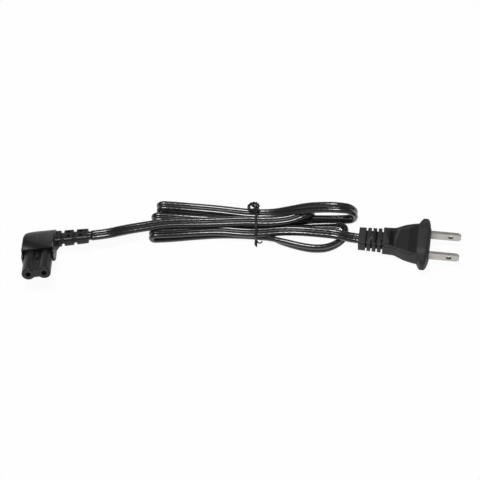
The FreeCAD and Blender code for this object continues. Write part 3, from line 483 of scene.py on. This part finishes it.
def colour_panels(graph, shader, spot, cloud, base):
    """Darkens the grip's panels on both flat sides and paints a highlight on the rim round them."""
    flank = (spot["X"] - PANEL_SHOULDER) * PANEL_SLOPE + PANEL_INNER
    tip = (spot["X"] - PANEL_BEND) * PANEL_TIP_SLOPE + PANEL_BEND_HALF
    inside = flank.lowest(tip).lowest(PANEL_INNER) - abs(spot["Y"])
    behind_flange = spot["X"].step(PANEL_FRONT, PANEL_FRONT - FRONT_BLUR)
    before_collar = spot["X"].step(PANEL_TIP - TIP_BLUR, PANEL_TIP)
    mask = inside.step(-SIDE_BLUR, SIDE_BLUR) * behind_flange * before_collar
    # Painted highlight: a thin band just outside the panels is made paler, standing in for light on the rim's
    # edge.
    rim = inside.step(-RIM_WIDTH, 0.0) * (1.0 - mask) * behind_flange
    rim = rim * spot["X"].step(PANEL_TIP, PANEL_TIP + RIM_START) * RIM_HIGHLIGHT_STRENGTH
    highlighted_base = graph.blend(rim, base, RIM_HIGHLIGHT_TONE)
    graph.feed(shader.inputs["Base Color"], graph.blend(mask, highlighted_base, graph.blend(cloud, *PANEL_TONES)))
    shader.inputs["Specular IOR Level"].default_value = PLUG_SPECULAR


plug_moulding, *parts = moulded("plug_moulding", PLUG_FRAME, PLUG_TONES,
                                roughness=0.55, grain=3.2, spread=0.1)
colour_panels(*parts)
connector_moulding = moulded("connector_moulding", CONNECTOR_FRAME, CONNECTOR_TONES,
                             roughness=0.36, grain=4.0)[0]
plug_bridge = moulded("plug_bridge", PLUG_FRAME, BRIDGE_TONES, roughness=0.4, grain=5.0)[0]
dress(connector_moulding, "connector_insert")

# %% [markdown]
# ## The plug's flange and strain relief
#
# The real flange is a lens in plan: thick where it meets the grip, and swept back from both
# faces to its two thin noses. The strain relief and its collar are a little fuller than the
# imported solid, too. A merged copy of the solid keeps every edge and groove, so it is cut
# across where it has to bend and its points are moved by a rule in the plug's own frame.

# %% The plug's flange and strain relief
OLD_FLANGE, FLANGE_FRONT, FLANGE_REAR, SWEEP_FROM, NOSE_AT = 4.0, 1.0, -5.7, 7.0, 14.6
FRONT_SWEEP, REAR_SWEEP, SWEEP_CURVE = 1.46, 2.6, 1.6
OLD_PANEL_END, PANEL_END_FROM, PANEL_END_WIDER, PANEL_END_CURVE = 20.4, 17.2, 0.9, 1.5
PANEL_LEVEL, PANEL_SLACK = 3.0, 0.1
SCOOP_FOOT, COLLAR_FRONT, COLLAR_REAR, OLD_RELIEF, RELIEF = 10.5, 20.6, 24.2, 36.6, 37.4
COLLAR_EASE, RELIEF_EASE = 3.0, 0.2
COLLAR_FULLER, RELIEF_FULLER, RELIEF_END_FULLER = 0.06, 0.025, 0.031
FLANGE_CUTS = 8
SAME_POINT, ON_PLANE = 0.002 * MM, 1e-4
SHARP_EDGE = math.radians(28)


def share(value, low, high):
    """How far a value has come from low to high, from 0 to 1."""
    return max(0.0, min(1.0, (value - low) / (high - low)))


def plug_point(x, y, z):
    """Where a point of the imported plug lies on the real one, in millimetres in the plug's frame."""
    sweep = share(abs(y), SWEEP_FROM, NOSE_AT) ** SWEEP_CURVE
    front, rear = FLANGE_FRONT - FRONT_SWEEP * sweep, FLANGE_REAR + REAR_SWEEP * sweep
    panel_half = PANEL_BEND_HALF + (x - PANEL_BEND) * PANEL_SLOPE + PANEL_SLACK
    if x > -OLD_PANEL_END - PANEL_SLACK and abs(z) > PANEL_LEVEL and abs(y) < panel_half:
        y *= 1 + PANEL_END_WIDER * share(-x, PANEL_END_FROM, OLD_PANEL_END) ** PANEL_END_CURVE
    fuller = COLLAR_FULLER * share(-x, COLLAR_FRONT - COLLAR_EASE, COLLAR_FRONT)
    wider = 1 + fuller + RELIEF_FULLER * share(-x, COLLAR_REAR, COLLAR_REAR + RELIEF_EASE)
    wider += RELIEF_END_FULLER * share(-x, COLLAR_REAR, OLD_RELIEF)
    if x > -OLD_FLANGE:
        x = front + (rear - front) * -x / OLD_FLANGE
    elif x > -SCOOP_FOOT:
        x = rear - (SCOOP_FOOT + rear) * share(-x, OLD_FLANGE, SCOOP_FOOT)
    elif x < -COLLAR_REAR:
        x = -COLLAR_REAR + (x + COLLAR_REAR) * (RELIEF - COLLAR_REAR) / (OLD_RELIEF - COLLAR_REAR)
    return x, y * wider, z * (1 + fuller)


def soften(mesh):
    """Smooth shading, apart from the edges that are sharp."""
    mesh.polygons.foreach_set("use_smooth", [True] * len(mesh.polygons))
    mesh.set_sharp_from_angle(angle=SHARP_EDGE)


def reshape(name, node, matrix, cuts, rule):
    """A copy of a CAD node, cut across at some planes, with its points moved in its own frame."""
    shape = bmesh.new()
    shape.from_mesh(nodes[node].data)
    bmesh.ops.remove_doubles(shape, verts=shape.verts, dist=SAME_POINT)
    to_own = Matrix.Scale(1 / MM, 4) @ matrix.inverted()
    bmesh.ops.transform(shape, matrix=to_own, verts=shape.verts)
    for axis, at in cuts:
        plane = Vector([float(i == axis) for i in range(3)])
        everything = shape.verts[:] + shape.edges[:] + shape.faces[:]
        bmesh.ops.bisect_plane(shape, geom=everything, dist=ON_PLANE, plane_co=plane * at, plane_no=plane)
    for vertex in shape.verts:
        vertex.co = rule(*vertex.co)
    bmesh.ops.transform(shape, matrix=to_own.inverted(), verts=shape.verts)
    mesh = bpy.data.meshes.new(name)
    shape.to_mesh(mesh)
    shape.free()
    soften(mesh)
    piece = show(name, mesh)
    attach(piece, "root")
    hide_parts(node)
    print(name, "has", len(mesh.polygons), "faces")
    return piece


def finish_piece(piece, material):
    piece.data.materials.clear()
    piece.data.materials.append(material)


plug_cuts = [(1, side * (SWEEP_FROM + step)) for side in (-1, 1) for step in range(FLANGE_CUTS)]
plug_shell = reshape("plug_shell", "plug_body", PLUG_FRAME, plug_cuts, plug_point)
finish_piece(plug_shell, plug_moulding)


def bridge_point(x, y, z):
    """The hard bridge comes forward with the flange that holds it."""
    return (x + FLANGE_FRONT if x > -OLD_FLANGE else x), y, z


bridge = reshape("plug_bridge_block", "plug_insert", PLUG_FRAME, [], bridge_point)
finish_piece(bridge, plug_bridge)

# %% [markdown]
# ## The connector's strain relief
#
# Behind the elbow the real moulding tapers gently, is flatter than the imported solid, and has
# two waists that bite deep into its outline. Past each waist, both flat sides have a pair of
# small pits. It is swept: the same number of points goes round at every station, and a pair
# of stations close together makes each step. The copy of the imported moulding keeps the
# elbow, and its own strain relief shrinks until the new one covers it.

# %% The connector's strain relief
BOOT_AXIS, ELBOW_SIDE, OLD_BOOT_HALF, OLD_BOOT_TALL = 29.4, 8.85, 4.2, 3.6
OLD_WEB_START, WEB_START, OLD_WEB_END, WEB_END, WEB_FLATTER = 19.4, 21.6, 13.85, 11.6, 0.75
SHRINK_ACROSS, SHRINK_UP, SHRINK_ALONG = 0.55, 0.5, 0.85
SLACK, CLEARANCE = 0.01, 0.05


def connector_point(x, y, z):
    """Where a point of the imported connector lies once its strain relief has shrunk."""
    off = y - BOOT_AXIS
    on_side = abs(x - ELBOW_SIDE) < SLACK
    if x < ELBOW_SIDE - SLACK:
        return x, y, z
    if on_side and abs(y - OLD_WEB_START) < SLACK:
        return x, WEB_START, z * WEB_FLATTER
    if on_side and (abs(off) > OLD_BOOT_HALF + CLEARANCE or abs(z) > OLD_BOOT_TALL + CLEARANCE):
        return x, y, z
    if abs(x - OLD_WEB_END) < SLACK and off < SLACK:
        return WEB_END, BOOT_AXIS + off * SHRINK_ACROSS, z * WEB_FLATTER
    return ELBOW_SIDE + (x - ELBOW_SIDE) * SHRINK_ALONG, BOOT_AXIS + off * SHRINK_ACROSS, z * SHRINK_UP


connector_shell = reshape("connector_shell", "connector_body", CONNECTOR_FRAME, [], connector_point)
finish_piece(connector_shell, connector_moulding)

BOOT_START, BOOT_END = 8.2, 26.5
BOOT_ROOT, BOOT_TIP, WAIST = (4.8, 2.9, 1.9), (4.3, 2.6, 1.7), (3.15, 2.05, 1.2)
WAISTS, WAIST_HALF = (12.6, 19.4), 0.85
PITS, PIT_HALF, PIT_INNER, PIT_OUTER, PIT_FLOOR = (16.0, 22.6), 0.8, 1.0, 2.7, 1.65
STEP, EDGE = 0.03, 0.22
ROUND_STEPS = 7


def boot_quarter(wide, tall, rounding, pit):
    """A quarter of the section, from the middle of the flat side to the middle of the edge."""
    flat = wide - rounding
    across = (0.0, PIT_INNER / 2, PIT_INNER - STEP, PIT_INNER + STEP, (PIT_INNER + PIT_OUTER) / 2,
              PIT_OUTER - STEP, PIT_OUTER + STEP)
    quarter = []
    for off in across:
        height = tall
        if off > flat:
            height += math.sqrt(max(0.0, rounding ** 2 - (off - flat) ** 2)) - rounding
        quarter.append((off, PIT_FLOOR if pit and PIT_INNER < off < PIT_OUTER else height))
    first = math.acos(min(1.0, max(0.0, (PIT_OUTER + STEP - flat) / rounding)))
    for i in range(1, ROUND_STEPS + 1):
        angle = first * (1 - i / ROUND_STEPS)
        quarter.append((flat + rounding * math.cos(angle), tall - rounding + rounding * math.sin(angle)))
    return quarter + [(wide, 0.0)]


def boot_stations():
    """Each station's x, how much is taken off the section there, and what it crosses."""
    stations = [(BOOT_START, 0.0, ""), (BOOT_END - EDGE, 0.0, ""), (BOOT_END, EDGE, "")]
    for middle in WAISTS:
        for side in (-1, 1):
            edge = middle + side * WAIST_HALF
            stations += [(edge + side * EDGE, 0.0, ""), (edge + side * STEP, EDGE / 2, ""),
                         (edge - side * STEP, 0.0, "waist")]
    for middle in PITS:
        for side in (-1, 1):
            edge = middle + side * PIT_HALF
            stations += [(edge + side * STEP, 0.0, ""), (edge - side * STEP, 0.0, "pit")]
    return sorted(stations)


def boot_ring(x, taken, crossing):
    """The section at one station, once round."""
    along = (x - BOOT_START) / (BOOT_END - BOOT_START)
    wide, tall, rounding = [root + (tip - root) * along for root, tip in zip(BOOT_ROOT, BOOT_TIP)]
    if crossing == "waist":
        wide, tall, rounding = WAIST
    quarter = boot_quarter(wide - taken, tall - taken, rounding, crossing == "pit")
    upper = quarter + [(off, -height) for off, height in reversed(quarter[:-1])]
    ring = upper + [(-off, height) for off, height in reversed(upper[1:-1])]
    return [CONNECTOR_FRAME @ (Vector((x, BOOT_AXIS + off, height)) * MM) for off, height in ring]


def face_outwards(name, meshes):
    """The meshes joined into one, whose faces all look outwards."""
    joined = bmesh.new()
    for mesh in meshes:
        joined.from_mesh(mesh)
    bmesh.ops.recalc_face_normals(joined, faces=joined.faces)
    result = bpy.data.meshes.new(name)
    joined.to_mesh(result)
    joined.free()
    return result


rings = [boot_ring(*station) for station in boot_stations()]
swept = bpy.data.meshes.new("swept")
swept.from_pydata([place for ring in rings for place in ring], [], ring_faces(len(rings), len(rings[0])))
boot_mesh = face_outwards("boot", [swept])
soften(boot_mesh)
boot = show("connector_boot", boot_mesh)
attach(boot, "root")
finish_piece(boot, connector_moulding)
print("connector_boot has", len(boot.data.polygons), "faces")

# %% [markdown]
# ## The metals
#
# The blades are brass strip with a dull nickel plating. Rolling and tumbling leave fine
# lines along them, so the noise is stretched along the blades. The contacts inside the
# connector are plain brass with lines of the same kind, and the wires' ends are copper.

# %% The metals
LINE_DETAIL, LINE_DEPTH = 4.0, 0.004 * MM
PATCH_SCALE, PATCH_DETAIL = 0.6, 3.0
LINE_SPREAD, PATCH_SPREAD = 0.16, 0.1
BLADE_TONES, BLADE_LINES = ((0.44, 0.42, 0.38), (0.60, 0.59, 0.55)), (0.3, 6.0, 6.0)
BRASS_TONES, BRASS_LINES = ((0.55, 0.48, 0.33), (0.66, 0.60, 0.45)), (5.0, 0.4, 5.0)
COPPER_TONES, COPPER_LINES = ((0.62, 0.30, 0.17), (0.75, 0.40, 0.25)), (0.5, 6.0, 6.0)


def rolled_metal(name, matrix, tones, roughness, stretch):
    """Strip or wire. Its lines run along the axis of the frame whose number in stretch is the smallest."""
    material, graph, shader = new_finish(name)
    shader.inputs["Metallic"].default_value = 1.0
    place = object_place(graph, matrix)
    stretched = graph.add("ShaderNodeMapping", {}, {"Vector": place, "Scale": stretch})
    lines = graph.noise(stretched, 1.0, LINE_DETAIL)
    patches = graph.noise(place, PATCH_SCALE, PATCH_DETAIL)
    middle = roughness - (LINE_SPREAD + PATCH_SPREAD) / 2
    graph.feed(shader.inputs["Base Color"], graph.blend(patches, *tones))
    graph.feed(shader.inputs["Roughness"], lines * LINE_SPREAD + patches * PATCH_SPREAD + middle)
    graph.feed(shader.inputs["Normal"], graph.bump(lines, LINE_DEPTH))
    return material


blade_metal = rolled_metal("blade_metal", PLUG_FRAME, BLADE_TONES, roughness=0.3, stretch=BLADE_LINES)
contact_metal = rolled_metal("contact_metal", CONNECTOR_FRAME, BRASS_TONES,
                             roughness=0.4, stretch=BRASS_LINES)
copper = rolled_metal("copper", PLUG_FRAME, COPPER_TONES, roughness=0.35, stretch=COPPER_LINES)
dress(blade_metal, "blade_left", "blade_right")
dress(contact_metal, "sleeve_left", "sleeve_right")
dress(copper, "wire_left_plug", "wire_right_plug", "wire_left_connector", "wire_right_connector")

# %% [markdown]
# ## The jacket's finish
#
# The jacket is extruded PVC with a gloss, so it shows long thin highlights. The die leaves
# lines that run along it, which the flex's own UV map can follow round every bend. Its two
# short ends inside the mouldings have no such map and take the same plastic without lines.

# %% The jacket's finish
WAVE_SCALE, WAVE_RISE, WAVE_SPREAD = 160.0, 2.0, 0.06
DIE_LINES, JACKET_DEPTH = (130.0, 34.0, 1.0), 0.003 * MM
JACKET_TONES = ((0.003, 0.003, 0.004), (0.006, 0.007, 0.008))
JACKET_SMOOTHEST, JACKET_COAT, COAT_ROUGHNESS = 0.27, 0.9, 0.17


def extruded(name, follow):
    """Glossy extruded plastic, with the die's lines where there is a UV map to follow."""
    material, graph, shader = new_finish(name)
    coordinates = graph.add("ShaderNodeTexCoord", output="Object")
    waves = graph.noise(coordinates, WAVE_SCALE)
    height = waves * WAVE_RISE
    if follow:
        run = graph.add("ShaderNodeUVMap", {"uv_map": "run"})
        stretched = graph.add("ShaderNodeMapping", {}, {"Vector": run, "Scale": DIE_LINES})
        height = height + graph.noise(stretched, 1.0)
    graph.feed(shader.inputs["Normal"], graph.bump(height, JACKET_DEPTH))
    graph.feed(shader.inputs["Base Color"], graph.blend(waves, *JACKET_TONES))
    graph.feed(shader.inputs["Roughness"], waves * WAVE_SPREAD + JACKET_SMOOTHEST)
    shader.inputs["Coat Weight"].default_value = JACKET_COAT
    shader.inputs["Coat Roughness"].default_value = COAT_ROUGHNESS
    return material


flex.data.materials.append(extruded("flex_jacket", follow=True))
dress(extruded("flex_end_jacket", follow=False), "flex_end_plug", "flex_end_connector")

# %% [markdown]
# ## The twist tie
#
# A wire in a narrow plastic ribbon goes once round the bundle, is twisted with itself into
# a small loop on top, and leaves a pointed tail and a short hook on the floor. The ribbon
# is a section swept round a closed line. The twisted pair is a Geometry Nodes tree: it
# copies the loop's line, winds each copy round it like a screw thread and gives it a round
# section, so the pitch and the number of strands stay named inputs.

# %% The twist tie
BAND = [(-7.8, 0.3), (-8.7, 1.4), (-9.0, 4.0), (-8.8, 6.0), (-7.4, 7.1), (-3.4, 9.2), (-1.6, 9.7), (1.6, 9.7),
        (3.6, 9.3), (8.0, 7.6), (9.8, 6.0), (10.3, 3.6), (10.4, 1.4), (9.6, 0.3), (4.0, 0.3), (-4.0, 0.3)]
RIBBON = [(-0.75, -0.1), (-0.75, 0.1), (-0.42, 0.16), (-0.26, 0.38), (0.0, 0.46), (0.26, 0.38), (0.42, 0.16),
          (0.75, 0.1), (0.75, -0.1), (0.3, -0.18), (-0.3, -0.18)]
LOOP = [(0.2, 4.6, 8.9), (0.4, 6.4, 9.7), (1.5, 8.2, 9.8), (1.0, 10.4, 9.2), (-1.0, 11.3, 8.7),
        (-3.2, 10.5, 8.6), (-4.2, 8.4, 8.8), (-3.2, 6.4, 9.2), (-1.4, 6.0, 9.7), (0.2, 7.4, 10.0),
        (-0.8, 9.0, 9.6), (-2.2, 9.0, 9.2)]
TAIL = [(0.0, -8.9, 1.6), (-0.1, -9.5, 0.5), (0.0, -10.6, 0.35), (0.3, -12.0, 0.4)]
TAIL_WIDTHS = [1.0, 1.1, 1.0, 0.25]
HOOK = [(0.5, -8.9, 1.8), (1.0, -9.6, 1.3), (2.0, -9.9, 0.8), (3.0, -9.4, 0.9), (3.3, -8.9, 1.5)]
HOOK_STRAND, HOOK_PITCH = 0.22 * MM, 2.0 * MM
BAND_MIDDLE, TAIL_UP = Vector((0.0, 0.4, 4.6)), Vector((0.0, -0.35, 1.0))
BAND_STEPS, TAIL_STEPS, PAIR_STEPS = 6, 8, 10
CREASE_SCALE, CREASE_DETAIL, CREASE_DEPTH, CREASE_SPREAD = 1400.0, 3.0, 0.05 * MM, 0.2
TIE_TONES, TIE_SMOOTHEST = ((0.010, 0.010, 0.012), (0.022, 0.022, 0.024)), 0.25


def ribbon_mesh(places, outs, section, closed, widths=None):
    """A section swept along places, its height along the outward direction of each."""
    count = len(places)
    vertices = []
    for i, place in enumerate(places):
        before = places[i - 1] if closed or i else place
        after = places[(i + 1) % count] if closed or i + 1 < count else place
        along = (after - before).normalized()
        out = (outs[i] - along * outs[i].dot(along)).normalized()
        wide = out.cross(along) * (widths[i] if widths else 1.0)
        vertices += [place + (wide * across + out * up) * MM for across, up in section]
    mesh = bpy.data.meshes.new("ribbon")
    mesh.from_pydata(vertices, [], ring_faces(count, len(section), closed))
    return mesh


def hank_places(points):
    return [TO_ROW @ (Vector(point) * MM) for point in points]


def band_mesh():
    """The ribbon round the bundle, from its closed outline in the hank's cross-section."""
    corners = [Vector((0.0, y, z)) for y, z in BAND]
    places, outs = [], []
    for i, corner in enumerate(corners):
        start, end = (corners[i - 1] + corner) / 2, (corner + corners[(i + 1) % len(corners)]) / 2
        for step in range(BAND_STEPS):
            part = step / BAND_STEPS
            spot = start.lerp(corner, part).lerp(corner.lerp(end, part), part)
            places.append(TO_ROW @ (spot * MM))
            outs.append(TO_ROW.to_3x3() @ (spot - BAND_MIDDLE))
    return ribbon_mesh(places, outs, RIBBON, closed=True)


def tail_mesh():
    """The tail on the floor, which narrows to a point."""
    places = read_spline(hank_places(TAIL), TAIL_STEPS)
    narrowing = [Vector((width, 0.0, i)) for i, width in enumerate(TAIL_WIDTHS)]
    widths = [place.x for place in read_spline(narrowing, TAIL_STEPS)]
    return ribbon_mesh(places, [TAIL_UP] * len(places), RIBBON, closed=False, widths=widths)


def twisted_pair(material):
    """The node tree that winds copies of a line round it."""
    tree = bpy.data.node_groups.new("twisted_pair", "GeometryNodeTree")
    tree.interface.new_socket("Line", in_out="INPUT", socket_type="NodeSocketGeometry")
    sizes = {"Strands": ("NodeSocketInt", 2), "Strand Radius": ("NodeSocketFloat", 0.46 * MM),
             "Pitch": ("NodeSocketFloat", 3.0 * MM), "Spacing": ("NodeSocketFloat", 0.25 * MM)}
    for name, (kind, value) in sizes.items():
        tree.interface.new_socket(name, in_out="INPUT", socket_type=kind).default_value = value
    tree.interface.new_socket("Pair", in_out="OUTPUT", socket_type="NodeSocketGeometry")
    graph = Graph(tree)
    given = graph.add("NodeGroupInput")
    line = graph.add("GeometryNodeMeshToCurve", {}, {"Mesh": given})
    line = graph.add("GeometryNodeResampleCurve", {"mode": "LENGTH"},
                     {"Curve": line, "Length": given["Spacing"]})
    copies = graph.add("GeometryNodeDuplicateElements", {"domain": "SPLINE"},
                       {"Geometry": line, "Amount": given["Strands"]})
    along = graph.add("GeometryNodeSplineParameter")["Length"]
    turn = (along / given["Pitch"] + copies["Duplicate Index"] / given["Strands"]) * math.tau
    out = graph.add("ShaderNodeVectorRotate", {"rotation_type": "AXIS_ANGLE"},
                    {"Vector": graph.add("GeometryNodeInputNormal"),
                     "Axis": graph.add("GeometryNodeInputTangent"), "Angle": turn})
    offset = graph.add("ShaderNodeVectorMath", {"operation": "SCALE"},
                       {0: out, "Scale": given["Strand Radius"]})
    wound = graph.add("GeometryNodeSetPosition", {}, {"Geometry": copies, "Offset": offset})
    ring = graph.add("GeometryNodeCurvePrimitiveCircle", {"mode": "RADIUS"},
                     {"Resolution": 10, "Radius": given["Strand Radius"]})
    mesh = graph.add("GeometryNodeCurveToMesh", {},
                     {"Curve": wound, "Profile Curve": ring, "Fill Caps": True})
    mesh = graph.add("GeometryNodeRealizeInstances", {}, {"Geometry": mesh})
    mesh = graph.add("GeometryNodeSetMaterial", {}, {"Geometry": mesh, "Material": material})
    graph.add("NodeGroupOutput", {}, {"Pair": mesh})
    return tree


def wind(line, tree, sizes):
    """The tree's result on a line of places, as a plain mesh."""
    host_mesh = bpy.data.meshes.new("line")
    host_mesh.from_pydata(line, [(i, i + 1) for i in range(len(line) - 1)], [])
    host = show("line", host_mesh)
    modifier = host.modifiers.new("wind", "NODES")
    modifier.node_group = tree
    sockets = {item.name: item.identifier for item in tree.interface.items_tree if item.in_out == "INPUT"}
    for name, value in sizes.items():
        modifier[sockets[name]] = value
    bpy.context.view_layer.update()
    mesh = bpy.data.meshes.new_from_object(host.evaluated_get(bpy.context.evaluated_depsgraph_get()))
    host.modifiers.clear()
    bpy.data.objects.remove(host)
    return mesh


def tie_finish():
    material, graph, shader = new_finish("tie_sleeve")
    coordinates = graph.add("ShaderNodeTexCoord", output="Object")
    creases = graph.noise(coordinates, CREASE_SCALE, CREASE_DETAIL)
    graph.feed(shader.inputs["Normal"], graph.bump(creases, CREASE_DEPTH))
    graph.feed(shader.inputs["Base Color"], graph.blend(creases, *TIE_TONES))
    graph.feed(shader.inputs["Roughness"], creases * CREASE_SPREAD + TIE_SMOOTHEST)
    return material


tie_sleeve = tie_finish()
pair_tree = twisted_pair(tie_sleeve)
loop_line = read_spline(hank_places(LOOP), PAIR_STEPS)
hook_line = read_spline(hank_places(HOOK), PAIR_STEPS)
tie_parts = [band_mesh(), tail_mesh(), wind(loop_line, pair_tree, {"Strands": 2}),
             wind(hook_line, pair_tree, {"Strands": 2, "Strand Radius": HOOK_STRAND, "Pitch": HOOK_PITCH})]
tie_mesh = face_outwards("tie", tie_parts)
smooth_sides(tie_mesh)
tie_mesh.materials.clear()
tie_mesh.materials.append(tie_sleeve)
tie = show("tie", tie_mesh)
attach(tie, "root")
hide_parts("twist_tie")
print("tie:", len(tie_mesh.polygons), "faces")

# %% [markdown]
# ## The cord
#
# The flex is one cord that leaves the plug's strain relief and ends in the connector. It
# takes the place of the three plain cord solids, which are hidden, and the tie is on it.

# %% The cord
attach(flex, "root")
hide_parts("cord_plug_run", "cord_hank", "cord_connector_run")
print("cord:", round(flex_length, 3), "m")

# %% [markdown]
# ## Floor and light
#
# The lead lies on white card. A camera ray mostly meets the card's own brightness, which
# keeps it white, and a mirrored ray half meets it. The rest is lit as any surface, which
# keeps the lead's soft shadow. A soft box hangs above the left of the lead, so the flex's
# highlights lie on top of its cores, and the sky is brighter near the horizon.

# %% Floor and light
CARD_TONE, CARD_ROUGHNESS = (0.93, 0.93, 0.93, 1.0), 0.9
CARD_SEEN, CARD_MIRRORED = 0.95, 0.5
WHITE = (1.0, 1.0, 1.0, 1.0)
FLOOR_HALF, FLOOR_LEVEL = 3.0, -0.05 * MM
SKY_HORIZON, SKY_FALL, SKY_TOP = 0.5, 4.0, 0.14
SOFT_BOX_AT, SOFT_BOX_AIM = Vector((-0.25, -0.10, 1.3)), Vector((-0.09, 0.0, 0.0))
SOFT_BOX_SIZE, SOFT_BOX_POWER = (0.24, 0.42), 12.5


def white_card():
    material, graph, shader = new_finish("card")
    shader.inputs["Base Color"].default_value = CARD_TONE
    shader.inputs["Roughness"].default_value = CARD_ROUGHNESS
    shader.inputs["Specular IOR Level"].default_value = 0.0
    glow = graph.add("ShaderNodeEmission", {}, {"Color": WHITE, "Strength": 1.0})
    rays = graph.add("ShaderNodeLightPath")
    seen = rays["Is Camera Ray"] * CARD_SEEN + rays["Is Glossy Ray"] * CARD_MIRRORED
    seen = seen + rays["Is Transmission Ray"]
    mixed = graph.add("ShaderNodeMixShader", {}, {0: seen, 1: Reading(graph, shader.outputs[0]), 2: glow})
    output = material.node_tree.nodes["Material Output"]
    graph.feed(output.inputs["Surface"], mixed)
    return material


def lay_floor():
    corners = [(x * FLOOR_HALF, y * FLOOR_HALF, FLOOR_LEVEL) for x, y in ((-1, -1), (1, -1), (1, 1), (-1, 1))]
    mesh = bpy.data.meshes.new("floor")
    mesh.from_pydata(corners, [], [(0, 1, 2, 3)])
    mesh.materials.append(white_card())
    show("floor", mesh)


def hang_light(name, place, size, power, aim):
    data = bpy.data.lights.new(name, "AREA")
    data.shape = "RECTANGLE"
    data.size, data.size_y = size
    data.energy = power
    light = show(name, data)
    light.location = place
    light.rotation_mode = "QUATERNION"
    light.rotation_quaternion = (aim - light.location).to_track_quat("-Z", "Y")


def light_sky():
    """White to the camera, and for everything else a sky that is dimmer overhead."""
    world = bpy.data.worlds.new("sky")
    bpy.context.scene.world = world
    world.use_nodes = True
    graph = Graph(world.node_tree)
    way = graph.add("ShaderNodeTexCoord", output="Generated")
    height = abs(graph.add("ShaderNodeSeparateXYZ", {}, {0: way})["Z"])
    sky = (1.0 - height) ** SKY_FALL * SKY_HORIZON + SKY_TOP
    seen = graph.add("ShaderNodeLightPath")["Is Camera Ray"]
    background = world.node_tree.nodes["Background"]
    background.inputs["Color"].default_value = WHITE
    graph.feed(background.inputs["Strength"], seen + (1.0 - seen) * sky)


lay_floor()
light_sky()
hang_light("soft_box", SOFT_BOX_AT, SOFT_BOX_SIZE, SOFT_BOX_POWER, SOFT_BOX_AIM)
bpy.context.scene.view_settings.view_transform = "Standard"
print("lights:", [light.name for light in bpy.data.lights])
